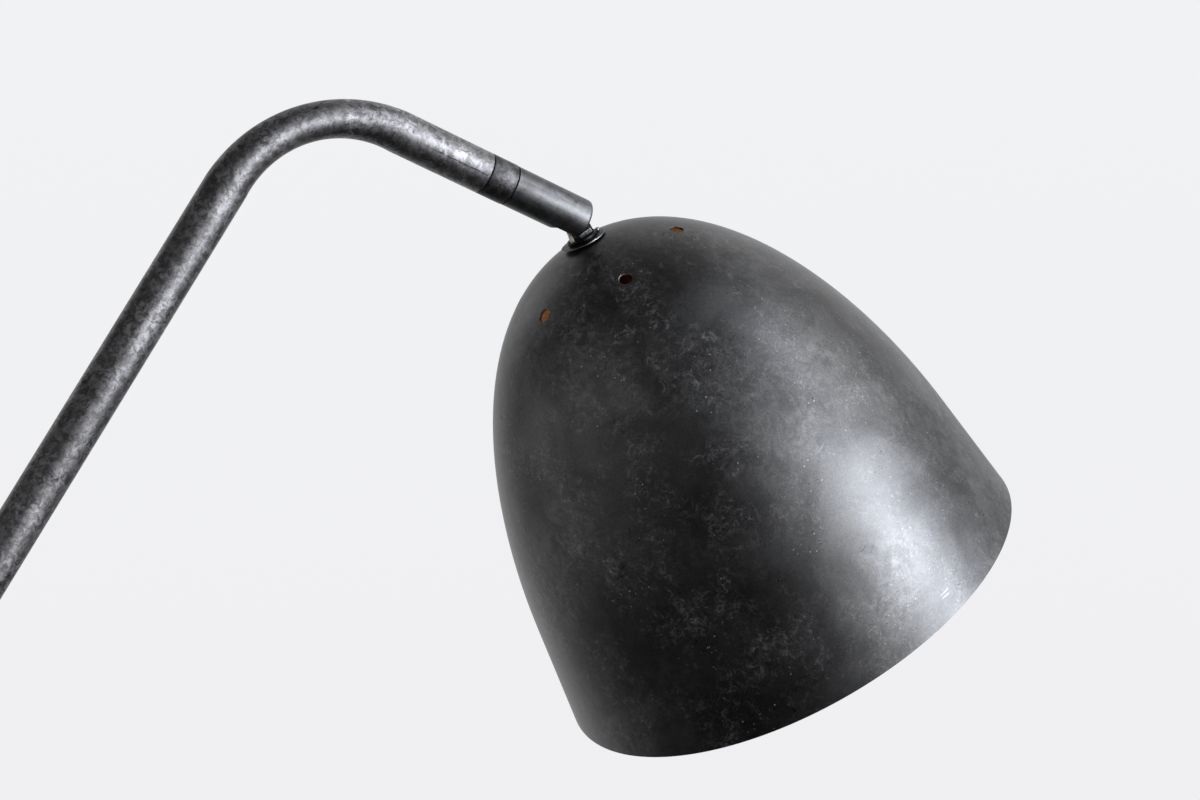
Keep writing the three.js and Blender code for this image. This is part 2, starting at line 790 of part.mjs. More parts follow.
const capEnd = holderTop + holderCapLength;
const bodyStart = capEnd + faceGap;
const bodyEnd = bodyStart + holderBodyLength;
const blockStart = capEnd - blockThickness / 2;
const blockEnd = blockStart + blockThickness;
const shellStart = blockEnd + faceGap;
const contactEnd = shellStart + contactHeight;
const bulbStart = contactEnd + faceGap;
const bulbCapEnd = bulbStart + bulbCapLength;

// Domed cap that screws on the shank.
function holderCap() {
  const neck = shankRadius + fitGap + holderWall;
  const shoulderZ = holderTop + holderNeckLength;
  const outer = new THREE.CubicBezierCurve(
    new THREE.Vector2(neck, shoulderZ),
    new THREE.Vector2(neck + holderNeckRound, shoulderZ),
    new THREE.Vector2(holderRadius - holderEdge, shoulderZ),
    new THREE.Vector2(holderRadius - holderEdge, capEnd),
  ).getPoints(4);
  const inner = outer.map((point) => {
    const wallAbove = (holderWall * (capEnd - point.y)) / (capEnd - shoulderZ);
    return [point.x - holderWall, point.y + wallAbove];
  });
  return onShadeAxis(
    turned([
      [neck - holderWall, holderTop],
      [neck, holderTop],
      ...outer.map((p) => [p.x, p.y]),
      ...inner.reverse(),
      [neck - holderWall, holderTop],
    ]),
  );
}

// Skirt of the holder, round the screw shell, with an inward lip at its mouth.
function holderBody() {
  const inner = holderRadius - holderWall;
  const lip = shellRadius + fitGap;
  return onShadeAxis(
    turned([
      [inner, bodyStart],
      [holderRadius - holderEdge, bodyStart],
      [holderRadius, bodyStart + holderShoulder],
      [holderRadius, bodyEnd - holderEdge],
      [holderRadius - holderEdge, bodyEnd],
      [lip, bodyEnd],
      [lip, bodyEnd - holderWall],
      [inner, bodyEnd - holderWall],
      [inner, bodyStart],
    ]),
  );
}

// Insulator clamped under the rim of the cap, with a narrower top inside it.
function terminalBlock() {
  const flange = holderRadius - holderWall - fitGap;
  const top = flange - blockLedge;
  return onShadeAxis(
    turned([
      [cableBore, blockStart],
      [top, blockStart],
      [top, bodyStart],
      [flange, bodyStart],
      [flange, blockEnd],
      [cableBore, blockEnd],
      [cableBore, blockStart],
    ]),
  );
}

function screwShell() {
  return onShadeAxis(ring(shellRadius, shellRadius - shellWall, shellStart, shellStart + shellLength));
}

function centreContact() {
  return onShadeAxis(
    turned(
      [
        [0, shellStart],
        [contactRadius, shellStart],
        [contactRadius, shellStart + contactHeight / 2],
        [contactRadius / 2, contactEnd],
        [0, contactEnd],
      ],
      16,
    ),
  );
}

// Screw cap of the bulb, a thin cup whose wall is rolled into a thread.
function bulbCap() {
  const steps = bulbThreads * 3;
  const threadStart = bulbStart + bulbTaper;
  const bulbFloor = threadStart + bulbCapWall;
  const flank = [];
  for (let k = 0; k <= steps; k++) {
    const wave = bulbThreadDepth * Math.sin((2 * Math.PI * bulbThreads * k) / steps);
    const height = THREE.MathUtils.lerp(threadStart, bulbCapEnd - bulbThreadMargin, k / steps);
    flank.push([bulbCapRadius - bulbThreadDepth + wave, height]);
  }
  const inner = bulbCapRadius - 2 * bulbThreadDepth - bulbCapWall;
  return onShadeAxis(
    turned(
      [
        [0, bulbStart],
        [contactRadius, bulbStart],
        [bulbCapRadius - bulbThreadMargin, threadStart - bulbThreadDepth],
        ...flank,
        [bulbCapRadius - bulbThreadDepth, bulbCapEnd],
        [inner, bulbCapEnd],
        [inner, bulbFloor],
        [0, bulbFloor],
      ],
      16,
    ),
  );
}

// Pear-shaped glass, open at the neck where it sits in the cap.
function bulbGlass() {
  const steps = 4;
  const neck = bulbCapRadius - 2 * bulbThreadDepth - bulbCapWall - fitGap;
  const neckStart = bulbCapEnd - bulbNeckLength;
  const centre = bulbCapEnd + bulbLength - bulbRadius;
  const within = bulbRadius - bulbWall;
  const flank = new THREE.CubicBezierCurve(
    new THREE.Vector2(neck, bulbCapEnd),
    new THREE.Vector2(neck + 1, bulbCapEnd + bulbLength / 6),
    new THREE.Vector2(bulbRadius, centre - bulbRadius * 0.9),
    new THREE.Vector2(bulbRadius, centre),
  );
  const outer = [[neck, neckStart]];
  const inner = [[neck - bulbWall, neckStart]];
  for (const point of flank.getPoints(steps)) {
    outer.push([point.x, point.y]);
    inner.push([point.x - bulbWall, point.y]);
  }
  for (let k = 1; k < steps; k++) {
    const angle = (k / steps) * (Math.PI / 2);
    outer.push([bulbRadius * Math.cos(angle), centre + bulbRadius * Math.sin(angle)]);
    inner.push([within * Math.cos(angle), centre + within * Math.sin(angle)]);
  }
  outer.push([0, centre + bulbRadius]);
  inner.push([0, centre + within]);
  return onShadeAxis(turned([...outer, ...inner.reverse(), outer[0]], 18));
}

// ---------------------------------------------------------------- cable

const pivot = armEnd.clone().addScaledVector(alongTip, pivotZ);
const alongShade = alongTip.clone().rotateAround(new THREE.Vector2(), -rest);

// A point of the XZ plane from its place in a frame whose +Z runs along the given direction.
function placed(origin, along, x, z) {
  const under = new THREE.Vector2(along.y, -along.x);
  return origin.clone().addScaledVector(along, z).addScaledVector(under, x);
}

// Lead inside the stand, from the bush up to the end of the swivel's stem.
function armCable() {
  const corners = [
    new THREE.Vector2(poleX - tubeRadius, bushZ),
    new THREE.Vector2(poleX, bushZ),
    lowerCorner,
    upperCorner,
    placed(armEnd, alongTip, 0, stemEnd),
  ];
  const stations = bentPath(corners, [tubeBore - overrun, lowerBendRadius, upperBendRadius]);
  return sweptTube(stations, cableRadius, 0, cableSides);
}

// The same lead from there out of the sleeve's mouth, into the boss and on to the lampholder.
function knuckleCable() {
  const cornerZ = -cableClearance / Math.sin(rest);
  const corners = [
    placed(armEnd, alongTip, 0, stemEnd + faceGap),
    placed(armEnd, alongTip, 0, pivotZ + cornerZ),
    placed(pivot, alongShade, cableClearance, bossTop - cableLeave),
    placed(pivot, alongShade, cableEntry.x, bossTop),
    placed(pivot, alongShade, cableMeet.x, cableMeet.z),
    placed(pivot, alongShade, knuckleOffset, shankEnd - shankBore),
    placed(pivot, alongShade, knuckleOffset, blockStart + cableRadius),
  ];
  const bends = [wideCableBend, cableBend, cableBend / 2, cableBend, cableBend];
  const stations = bentPath(corners, bends);
  return sweptTube(stations, cableRadius, 0, cableSides);
}

// ---------------------------------------------------------------- the lamp

function piece(name, geometry, material) {
  const mesh = new THREE.Mesh(geometry, material());
  mesh.name = name;
  return mesh;
}

const lamp = new THREE.Group();

const stand = new THREE.Group();
stand.add(
  piece("base_pad", basePad(), greyFelt),
  piece("base_plate", basePlate(), blackenedSteel),
  piece("pole_foot", poleFoot(), blackenedSteel),
  piece("foot_washer", footWasher(), platedSteel),
  piece("foot_nut", footNut(), platedSteel),
  piece("lower_pole", lowerPole(), blackenedSteel),
  piece("cable_bush", cableBush(), blackRubber),
  piece("pole_coupling", poleCoupling(), blackenedSteel),
  piece("upper_arm", upperArm(), blackenedSteel),
  piece("arm_cable", armCable(), clearLead),
);
lamp.add(stand);

// +Z of this group runs on along the arm's tip and +X points to its underside.
const armTip = new THREE.Group();
armTip.position.set(armEnd.x, 0, armEnd.y);
armTip.rotation.y = Math.PI / 2 + droop;
armTip.add(
  piece("arm_end_plug", armEndPlug(), blackenedSteel),
  piece("swivel_washer", swivelWasher(), blackFibre),
  piece("swivel_nut", swivelNut(), platedSteel),
  piece("swivel_sleeve", swivelSleeve(), brushedSteel),
  piece("swivel_fork", swivelFork(), platedSteel),
  piece("pivot_screw", pivotScrew(), platedSteel),
  piece("pivot_nut", pivotNut(), platedSteel),
  piece("friction_washer_near", frictionWasher(1), blackFibre),
  piece("friction_washer_far", frictionWasher(-1), blackFibre),
);
lamp.add(armTip);

// +Z of this group runs down the shade and +X points to the rear.
const head = new THREE.Group();
head.position.set(0, 0, pivotZ);
head.rotation.y = rest;
head.add(
  piece("knuckle", knuckle(), blackenedSteel),
  piece("crown_washer", crownWasher(), blackenedSteel),
  piece("crown_screw", crownScrew(), platedSteel),
  piece("shade", shade(), blackenedSteel),
  piece("backing_washer", backingWasher(), platedSteel),
  piece("ring_nut", ringNut(), brass),
  piece("holder_cap", holderCap(), blackPhenolic),
  piece("holder_body", holderBody(), blackPhenolic),
  piece("terminal_block", terminalBlock(), whiteCeramic),
  piece("screw_shell", screwShell(), brass),
  piece("centre_contact", centreContact(), brass),
  piece("bulb_cap", bulbCap(), platedSteel),
  piece("bulb_glass", bulbGlass(), opalGlass),
);
armTip.add(head);
lamp.add(piece("knuckle_cable", knuckleCable(), clearLead));

export default lamp;
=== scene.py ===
"""An arc floor lamp: blackened steel tube on a round base, with a spun bell shade on a swivelling knuckle."""

import functools
import math

import bpy
from mathutils import Matrix, Vector


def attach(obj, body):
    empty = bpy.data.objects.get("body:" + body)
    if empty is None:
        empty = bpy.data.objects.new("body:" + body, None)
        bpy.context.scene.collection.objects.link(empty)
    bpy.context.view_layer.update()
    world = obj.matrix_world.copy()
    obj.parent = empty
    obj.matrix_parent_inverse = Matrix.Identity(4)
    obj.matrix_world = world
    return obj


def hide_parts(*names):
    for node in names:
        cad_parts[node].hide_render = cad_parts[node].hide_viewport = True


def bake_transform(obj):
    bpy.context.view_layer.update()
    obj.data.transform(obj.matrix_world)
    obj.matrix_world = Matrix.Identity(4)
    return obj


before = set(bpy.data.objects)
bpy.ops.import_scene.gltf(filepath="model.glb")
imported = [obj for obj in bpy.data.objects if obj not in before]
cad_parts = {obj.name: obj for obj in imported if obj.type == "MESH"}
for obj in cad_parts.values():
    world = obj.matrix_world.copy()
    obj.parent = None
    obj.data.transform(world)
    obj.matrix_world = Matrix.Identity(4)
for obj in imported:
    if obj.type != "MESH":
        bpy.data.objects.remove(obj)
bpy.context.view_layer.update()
scene = bpy.context.scene
MM = 0.001

# ------------------------------------------------------------------ places, as in the solids, in millimetres

droop = math.radians(23.8)
rest_tilt = math.radians(33.9)
boss_lean = math.radians(4)
lean = math.radians(33.2)

# The base and the pole. Heights are above the floor.
pole_x = -95
base_radius = 159.6
base_bottom = 2
base_top = 14
recess_radius = 14
recess_depth = 8
pad_radius = 155
foot_washer_height = 1.6
foot_nut_height = 5
pole_bottom = 26.6
pole_top = 616.6
arm_bottom = 632.3
bush_height = 101.6

# The tubes, and the arm's corners, where its straight lengths would meet.
tube_radius = 10.99
tube_wall = 1.5
band_radius = 11
plug_radius = 9.2
lead_bore = 2.1
lower_corner = Vector((pole_x, 0, arm_bottom + 220))
upper_corner = lower_corner + Vector((math.sin(lean), 0, math.cos(lean))) * 725
along_tip = Vector((math.cos(droop), 0, -math.sin(droop)))
arm_end = upper_corner + along_tip * 112
lower_bend_radius = 150
upper_bend_radius = 72
collar_length = 14.5
seam = 0.6

# The swivel. Distances are along the arm's tip, from its end.
lead_start = 25.2
pivot_z = 54
pivot_bore = 1.9
pivot_recess = 3.1
sleeve_start = 15.9
sleeve_end = 61.9
sleeve_radius = 10.8
mouth_half = 6.3
mouth_near = 4.7
mouth_start = 46.1
slot_half = 2.8

# The head. Distances are down it, from the tilt pivot.
knuckle_offset = 1.5
boss_radius = 8.3
boss_top = 13.1
boss_bottom = 15.05
washer_radius = 12.5
washer_top = 15.2
washer_bottom = 15.7
crown_z = 16
crown_hole = 7.6
crown_screw_x = -10.3
shank_radius = 7.3
shank_end = 37.05
holder_top = 24.72
cap_end = 44.72
body_end = 78.87
bulb_start = 51.02
bulb_cap_end = 76.02
lead_entry = Vector((6.6, 0, boss_top))
lead_bend = Vector((3.2, 0, boss_top + 8))
lead_end = 42.22

shade_depth = 236
rim_radius = 136.5
skirt_height = 60
skirt_flare = 0.15
skirt_radius = rim_radius - skirt_flare * skirt_height
skirt_top = shade_depth - skirt_height
crown_pull = 71.5
shoulder_pull = 86

# +Z runs on along the arm's tip and +X points to its underside.
tip_frame = Matrix.Translation(arm_end * MM) @ Matrix.Rotation(math.pi / 2 + droop, 4, "Y")
# +Z runs down the shade and +X points to the rear.
head_frame = tip_frame @ Matrix.Translation((0, 0, pivot_z * MM)) @ Matrix.Rotation(rest_tilt, 4, "Y")
shade_frame = head_frame @ Matrix.Translation((knuckle_offset * MM, 0, 0))
# The boss and its washer lean a little.
boss_place = Vector((1, 0, washer_top)) * MM
boss_frame = head_frame @ Matrix.Translation(boss_place) @ Matrix.Rotation(boss_lean, 4, "Y")
pole_frame = Matrix.Translation((pole_x * MM, 0, 0))
# +Z runs forward through the hole in the pole's rear.
bush_frame = Matrix.Translation((0, 0, bush_height * MM)) @ Matrix.Rotation(math.pi / 2, 4, "Y")

# ------------------------------------------------------------------ shader maths


class Value:
    """A socket of a finish's nodes, for use in Python expressions."""

    def __init__(self, sheet, socket):
        self.sheet = sheet
        self.socket = socket

    def maths(self, operation, *others):
        settings = {"operation": operation}
        return self.sheet.node("ShaderNodeMath", settings, dict(enumerate([self, *others])))

    def __add__(self, other):
        return self.maths("ADD", other)

    __radd__ = __add__

    def __mul__(self, other):
        return self.maths("MULTIPLY", other)

    __rmul__ = __mul__

    def __sub__(self, other):
        return self.maths("SUBTRACT", other)

    def __rsub__(self, other):
        return self.sheet.node("ShaderNodeMath", {"operation": "SUBTRACT"}, {0: other, 1: self})

    def clamped(self):
        return self.sheet.node("ShaderNodeClamp", {}, {"Value": self})

    def between(self, low, high):
        """0 at low, 1 at high, smooth between them."""
        settings = {"interpolation_type": "SMOOTHSTEP"}
        sockets = {"Value": self, "From Min": low, "From Max": high}
        return self.sheet.node("ShaderNodeMapRange", settings, sockets)


class Sheet:
    """The nodes of a material or of the world."""

    def __init__(self, owner):
        owner.use_nodes = True
        self.tree = owner.node_tree
        self.tree.nodes.clear()

    def node(self, kind, settings, sockets, out=0):
        """Any node, from its settings and the values or links of its sockets. Returns one of its outputs."""
        made = self.tree.nodes.new(kind)
        for name, value in settings.items():
            setattr(made, name, value)
        for name, value in sockets.items():
            if isinstance(value, Value):
                self.tree.links.new(value.socket, made.inputs[name])
            else:
                made.inputs[name].default_value = value
        return Value(self, made.outputs[out]) if made.outputs else None

    def place(self, scale=1.0, where=Matrix.Identity(4), stretch=(1, 1, 1)):
        """Object coordinates in the given frame, in metres, times scale and stretch."""
        back = where.inverted()
        raw = self.node("ShaderNodeTexCoord", {}, {}, "Object")
        sockets = {"Vector": raw, "Location": back.translation, "Rotation": back.to_euler()}
        local = self.node("ShaderNodeMapping", {}, sockets)
        sizes = {"Vector": local, "Scale": tuple(scale * s for s in stretch)}
        return self.node("ShaderNodeMapping", {}, sizes)

    def axis(self, vector, name):
        """One of a vector's three values: X, Y or Z."""
        return self.node("ShaderNodeSeparateXYZ", {}, {"Vector": vector}, name)

    def length(self, vector):
        return self.node("ShaderNodeVectorMath", {"operation": "LENGTH"}, {0: vector}, "Value")

    def noise(self, vector, scale, detail, rough, distortion=0.0):
        """Cloudy noise from 0 to 1. Its patches are about 1 / scale across."""
        sockets = {
            "Vector": vector,
            "Scale": scale,
            "Detail": detail,
            "Roughness": rough,
            "Distortion": distortion,
        }
        return self.node("ShaderNodeTexNoise", {}, sockets)

    def cells(self, vector, scale, out="Distance"):
        """Distance to the nearest of many scattered points, or a value for each point's cell."""
        return self.node("ShaderNodeTexVoronoi", {}, {"Vector": vector, "Scale": scale}, out)

    def mix(self, share, first, second):
        """A colour between first and second."""
        sockets = {0: share, 6: rgba(first), 7: rgba(second)}
        return self.node("ShaderNodeMix", {"data_type": "RGBA"}, sockets, 2)

    def grey(self, tone, tint=(1, 1, 1)):
        """The tint, darkened to a tone from 0 to 1."""
        return self.mix(tone.clamped(), (0, 0, 0), tint)

    def bump(self, height, strength, depth):
        return self.node("ShaderNodeBump", {}, {"Height": height, "Strength": strength, "Distance": depth})

    def surface(self, sockets):
        """The finished surface, from the values of a Principled shader's sockets."""
        filled = {name: rgba(value) if "Color" in name else value for name, value in sockets.items()}
        shader = self.node("ShaderNodeBsdfPrincipled", {}, filled)
        self.node("ShaderNodeOutputMaterial", {}, {"Surface": shader})


def rgba(colour):
    return colour if isinstance(colour, Value) else (*colour, 1)


def finish(maker):
    """Makes a finish the first time it is asked for, named after its function."""

    @functools.cache
    def kept():
        material = bpy.data.materials.new(maker.__name__)
        maker(Sheet(material))
        return material

    return kept


# ------------------------------------------------------------------ finishes


def hairline(s, at, scale, detail, distortion, thin, soft):
    """Thin curling lines, 1 on the line and 0 beside it."""
    waves = s.noise(at, scale, detail, 0.5, distortion=distortion)
    return 1 - ((waves - 0.5).maths("ABSOLUTE")).between(thin, soft)


def patina(s, at, grain=1.0):
    """What the blackened steel pieces share: cloudy patches, curling veins, pale flakes, fine stipple and
    dark pits, each from 0 to 1. grain makes them all finer."""
    clouds = s.noise(at, 24 * grain, 5, 0.6, distortion=0.8).between(0.36, 0.64)
    large = hairline(s, at, 70 * grain, 5, 2.0, 0.0, 0.022)
    large = large * s.noise(at, 170 * grain, 4, 0.7).between(0.4, 0.6)
    small = hairline(s, at, 190 * grain, 3, 1.4, 0.0, 0.055)
    small = small * s.noise(at, 300 * grain, 4, 0.7).between(0.38, 0.6)
    patches = s.noise(at, 38 * grain, 4, 0.62, distortion=0.6).between(0.4, 0.6)
    veins = (large + small * 0.8).clamped() * (patches * 0.85 + 0.15)
    flakes = s.noise(at, 170 * grain, 6, 0.76, distortion=0.8).between(0.52, 0.7) * patches
    stipple = s.noise(at, 1300 * grain, 3, 0.7)
    pits = 1 - s.cells(at, 420 * grain).between(0.1, 0.32)
    pits = pits * s.noise(at, 75 * grain, 3, 0.6).between(0.6, 0.68)
    return clouds, veins, flakes, stipple, pits


@finish
def shade_steel(s):
    """Blackened and waxed steel, cloudy, with pale veins, flakes and specks and a few scratches."""
    at = s.place(1, shade_frame)
    clouds, veins, flakes, stipple, pits = patina(s, at)
    curdled = s.noise(at, 120, 7, 0.7, distortion=1.4).between(0.36, 0.64)
    curdled = curdled * s.noise(at, 15, 3, 0.5).between(0.4, 0.58)
    dust = (1 - s.cells(at, 310).between(0.04, 0.17)) * s.cells(at, 310, out="Color").between(0.3, 0.75)
    specks = dust * s.noise(at, 36, 3, 0.6).between(0.45, 0.58)
    scratches = 1 - s.cells(s.place(1, shade_frame, (1, 0.08, 0.4)), 150).between(0.02, 0.07)
    scratches = scratches * s.noise(at, 34, 2, 0.5).between(0.58, 0.64)
    cracks = hairline(s, at, 60, 6, 0.6, 0.003, 0.02)
    cracks = cracks * s.noise(at, 48, 4, 0.6, distortion=0.8).between(0.62, 0.7)
    # Two short bright strokes by the rim, in millimetres.
    near_rim = s.place(1000, shade_frame)
    x, y, z = (s.axis(near_rim, name) for name in "XYZ")
    wander = (s.noise(at, 220, 3, 0.6) - 0.5) * 1.6
    for height, left, right in ((239.7, -28.2, -19.8), (241.5, -27.5, -20)):
        stroke = 1 - ((z - height + wander).maths("ABSOLUTE")).between(0.1, 0.5)
        stroke = stroke * x.between(left, left + 1.5) * (1 - x.between(right - 2, right))
        stroke = stroke * (1 - y.between(-1, 0))
        scratches = scratches + stroke * (stipple * 1.5 + 0.6)
    tone = 0.145 + clouds * 0.06 + curdled * 0.08 + veins * 0.09 + flakes * 0.07
    tone = tone + specks * 0.4 + scratches * 0.12
    tone = (tone - pits * 0.12 - cracks * 0.1) * (stipple * 1.1 + 0.45)
    dull = (veins * 0.18 + flakes * 0.13 + specks * 0.5 + scratches * 0.2).clamped()
    rough = 0.36 + clouds * 0.03 + stipple * 0.06 + veins * 0.04
    s.surface({"Base Color": s.grey(tone), "Metallic": 1 - dull, "Roughness": rough})


@finish
def shade_lining(s):
    """Copper-toned lacquer inside the shade, with the fine rings left by spinning."""
    at = s.place(1, shade_frame)
    clouds = s.noise(at, 30, 4, 0.6)
    rings = s.noise(s.place(1, shade_frame, (0.15, 0.15, 6)), 130, 3, 0.6)
    tone = s.mix(clouds.between(0.35, 0.65), (0.2, 0.112, 0.062), (0.29, 0.168, 0.095))
    tone = s.mix(rings.between(0.4, 0.7) * 0.35, tone, (0.31, 0.195, 0.115))
    s.surface({"Base Color": tone, "Metallic": 0.3, "Roughness": 0.42 + rings * 0.2})


def worn_tube(s, dark, worn_share):
    """Blackened tube, worn through to silvery steel in curdled patches: colour, metallic and roughness."""
    at = s.place(1)
    clouds, veins, flakes, stipple, pits = patina(s, at, 1.4)
    curds = s.noise(at, 300, 6, 0.72, distortion=0.9).between(0.42, 0.6)
    worn = s.noise(at, 55, 4, 0.6).between(0.4, 0.62)
    cracks = hairline(s, at, 90, 6, 0.5, 0.004, 0.03) * s.noise(at, 70, 3, 0.6).between(0.56, 0.64)
    tone = dark + clouds * 0.05 + curds * (worn * 0.2 + 0.22) * worn_share + veins * 0.12
    tone = (tone - pits * 0.1 - cracks * 0.16).clamped() * (stipple * 1.2 + 0.4)
    rough = 0.42 + curds * 0.05 + stipple * 0.06
    return s.grey(tone, (1.0, 0.985, 1.0)), 1 - flakes * 0.15, rough


@finish
def tube_steel(s):
    """The tubes, with a dark wavering line along the near side of the arm's tip that stops just short of its
    end.
    """
    at = s.place(1000, tip_frame)
    across, side, along = (s.axis(at, name) for name in "XYZ")
    wander = (s.noise(at, 0.16, 4, 0.6) - 0.5) * 2.2
    line = 1 - ((across - 2.1 + wander).maths("ABSOLUTE")).between(0.1, 0.5)
    line = line * along.between(-48, -28) * (1 - along.between(-2, -0.8)) * (1 - side.between(-6, -4))
    line = line * s.noise(at, 0.5, 3, 0.6).between(0.3, 0.5)
    tone, metal, rough = worn_tube(s, 0.21, 1.0)
    tone = s.mix(line * 0.85, tone, (0.02, 0.02, 0.02))
    s.surface({"Base Color": tone, "Metallic": metal, "Roughness": rough})


@finish
def collar_steel(s):
    """The coupling bands, less worn than the tubes."""
    tone, metal, rough = worn_tube(s, 0.09, 0.4)
    s.surface({"Base Color": tone, "Metallic": metal, "Roughness": rough})


@finish
def base_steel(s):
    """Blackened plate, cloudy like the shade, with rubbed scratches."""
    at = s.place(1)
    clouds, veins, flakes, stipple, pits = patina(s, at, 0.8)
    scratches = 1 - s.cells(s.place(1, pole_frame, (1, 0.05, 1)), 90).between(0.01, 0.05)
    scratches = scratches * s.noise(at, 22, 2, 0.5).between(0.56, 0.64)
    tone = 0.15 + clouds * 0.07 + veins * 0.06 + flakes * 0.08 + scratches * 0.16 - pits * 0.1
    tone = tone * (stipple + 0.5)
    dull = (veins * 0.17 + flakes * 0.2 + scratches * 0.2).clamped()
    rough = 0.4 + clouds * 0.06 + stipple * 0.06
    s.surface({"Base Color": s.grey(tone), "Metallic": 1 - dull, "Roughness": rough})


@finish
def knuckle_steel(s):
    """Turned and blackened steel: the tongue and shoulder rubbed to grey, with a painted highlight on the
    shoulder's top and front edges on its near side, and painted shade on that near side and on the boss.
    """
    at = s.place(1000, head_frame)
    x, y, z = (s.axis(at, name) for name in "XYZ")
    boss = z.between(12.5, 13.5)
    wear = s.noise(at, 0.24, 6, 0.7, distortion=0.5)
    lines = s.noise(s.place(1, head_frame, (0.2, 0.2, 8)), 500, 3, 0.6)
    rubbed = wear.between(0.36, 0.66) * (1 - boss * 0.8)
    # The shoulder's top and front edges on the near side get a painted highlight.
    top = 1 - ((z - 10.9).maths("ABSOLUTE")).between(0.15, 0.4)
    front = (1 - x.between(-4.3, -4.1)) * (1 - boss)
    near = 1 - y.between(-4.25, -3.5)
    edges = top.maths("MAXIMUM", front) * near * (wear * 0.7 + 0.5)
    tone = s.mix(rubbed, (0.05, 0.05, 0.051), (0.19, 0.19, 0.2))
    tone = s.mix(lines.between(0.5, 0.8) * 0.5, tone, (0.04, 0.04, 0.04))
    # Painted shade: the near side and the boss are darkened.
    tone = s.mix((near * 0.6).maths("MAXIMUM", boss * 0.8), tone, (0.035, 0.035, 0.036))
    tone = s.mix(edges.clamped(), tone, (0.75, 0.75, 0.76))
    s.surface({"Base Color": tone, "Metallic": 1.0, "Roughness": 0.34 + wear * 0.2})


@finish
def washer_steel(s):
    """Blackened steel sheet, brighter where it has been rubbed, with a bright rim that is partly worn and
    partly a painted highlight.
    """
    at = s.place(1, head_frame)
    from_middle = s.length(s.place(1000, boss_frame, (1, 1, 0)))
    rim = from_middle.between(washer_radius - 0.18, washer_radius - 0.08)
    wear = s.noise(at, 300, 6, 0.7)
    smears = s.noise(at, 90, 3, 0.6, distortion=0.8)
    rubbed = (wear * 0.6 + smears * 0.4).between(0.46, 0.62)
    tone = s.mix(rubbed, (0.09, 0.09, 0.092), (0.25, 0.25, 0.255))
    # The rim's brightness is partly edge wear and partly a painted highlight.
    tone = s.mix(rim * (wear * 0.6 + 0.4), tone, (0.62, 0.62, 0.63))
    s.surface({"Base Color": tone, "Metallic": 1.0, "Roughness": 0.36 + wear * 0.15})


@finish
def sleeve_steel(s):
    """Dark steel rubbed with a cloth: soft blotches, faint lines along and round it, and dark stains."""
    at = s.place(1, tip_frame)
    blotches = s.noise(at, 130, 6, 0.68, distortion=0.7).between(0.36, 0.64)
    along = s.noise(s.place(1, tip_frame, (1, 1, 0.06)), 900, 3, 0.6)
    stains = s.noise(at, 210, 5, 0.7, distortion=0.4).between(0.58, 0.7)
    stipple = s.noise(at, 2200, 3, 0.7)
    tone = 0.2 + blotches * 0.1 + (along - 0.5) * 0.22 - stains * 0.14
    tinted = s.grey(tone * (stipple * 0.8 + 0.6), (0.98, 0.99, 1.0))
    s.surface({"Base Color": tinted, "Metallic": 1.0, "Roughness": 0.38 + blotches * 0.06 + along * 0.05})


@finish
def plated_steel(s):
    """Zinc plating with a faint crystal grain and dull smears."""
    at = s.place(1)
    crystals = s.cells(at, 900, out="Color")
    smears = s.noise(at, 300, 4, 0.6)
    tone = s.mix(smears, (0.4, 0.4, 0.41), (0.62, 0.62, 0.61))
    tone = s.mix(crystals.between(0.2, 0.9) * 0.2, tone, (0.7, 0.7, 0.68))
    s.surface({"Base Color": tone, "Metallic": 1.0, "Roughness": 0.26 + smears * 0.2})


@finish
def bulb_nickel(s):
    """Nickel plating, smeared, brushed round the thread."""
    at = s.place(1)
    smears = s.noise(at, 250, 4, 0.6)
    rings = s.noise(s.place(1, shade_frame, (0.1, 0.1, 10)), 400, 2, 0.6)
    tone = s.mix(smears, (0.52, 0.5, 0.45), (0.7, 0.68, 0.62))
    s.surface({"Base Color": tone, "Metallic": 1.0, "Roughness": 0.18 + smears * 0.12 + rings * 0.1})


@finish
def bright_brass(s):
    """Turned brass with light tarnish."""
    at = s.place(1)
    tarnish = s.noise(at, 300, 5, 0.65, distortion=0.4)
    rings = s.noise(s.place(1, shade_frame, (0.1, 0.1, 10)), 500, 2, 0.6)
    tone = s.mix(tarnish.between(0.35, 0.7), (0.78, 0.56, 0.22), (0.5, 0.32, 0.12))
    s.surface({"Base Color": tone, "Metallic": 1.0, "Roughness": 0.2 + tarnish * 0.18 + rings * 0.08})


@finish
def black_fibre(s):
    """Pressed fibre: short crossing strands."""
    at = s.place(1)
    strands = s.noise(s.place(1, stretch=(1, 0.2, 1)), 1800, 4, 0.7, distortion=1.0)
    flecks = s.noise(at, 900, 4, 0.7)
    tone = s.mix(strands * flecks * 2, (0.006, 0.006, 0.006), (0.04, 0.038, 0.036))
    s.surface({"Base Color": tone, "Roughness": 0.75 + flecks * 0.2, "Normal": s.bump(strands, 0.3, 0.0001)})


@finish
def black_rubber(s):
    """Rubber with a matt bloom."""
    at = s.place(1)
    grain = s.noise(at, 1500, 3, 0.6)
    bloom = s.noise(at, 160, 4, 0.6).between(0.45, 0.75)
    tone = s.mix(bloom, (0.012, 0.012, 0.012), (0.035, 0.035, 0.036))
    s.surface({"Base Color": tone, "Roughness": 0.55 + bloom * 0.25, "Normal": s.bump(grain, 0.15, 0.0001)})


@finish
def grey_felt(s):
    """Needled felt with loose pale fibres."""
    at = s.place(1)
    fibres = s.noise(at, 1500, 6, 0.8, distortion=1.5)
    loose = hairline(s, at, 420, 3, 2.0, 0.006, 0.04)
    tone = s.mix(fibres, (0.02, 0.02, 0.021), (0.07, 0.07, 0.072))
    tone = s.mix(loose * 0.4, tone, (0.14, 0.14, 0.14))
    s.surface({"Base Color": tone, "Roughness": 0.95, "Normal": s.bump(fibres + loose, 0.6, 0.0006)})


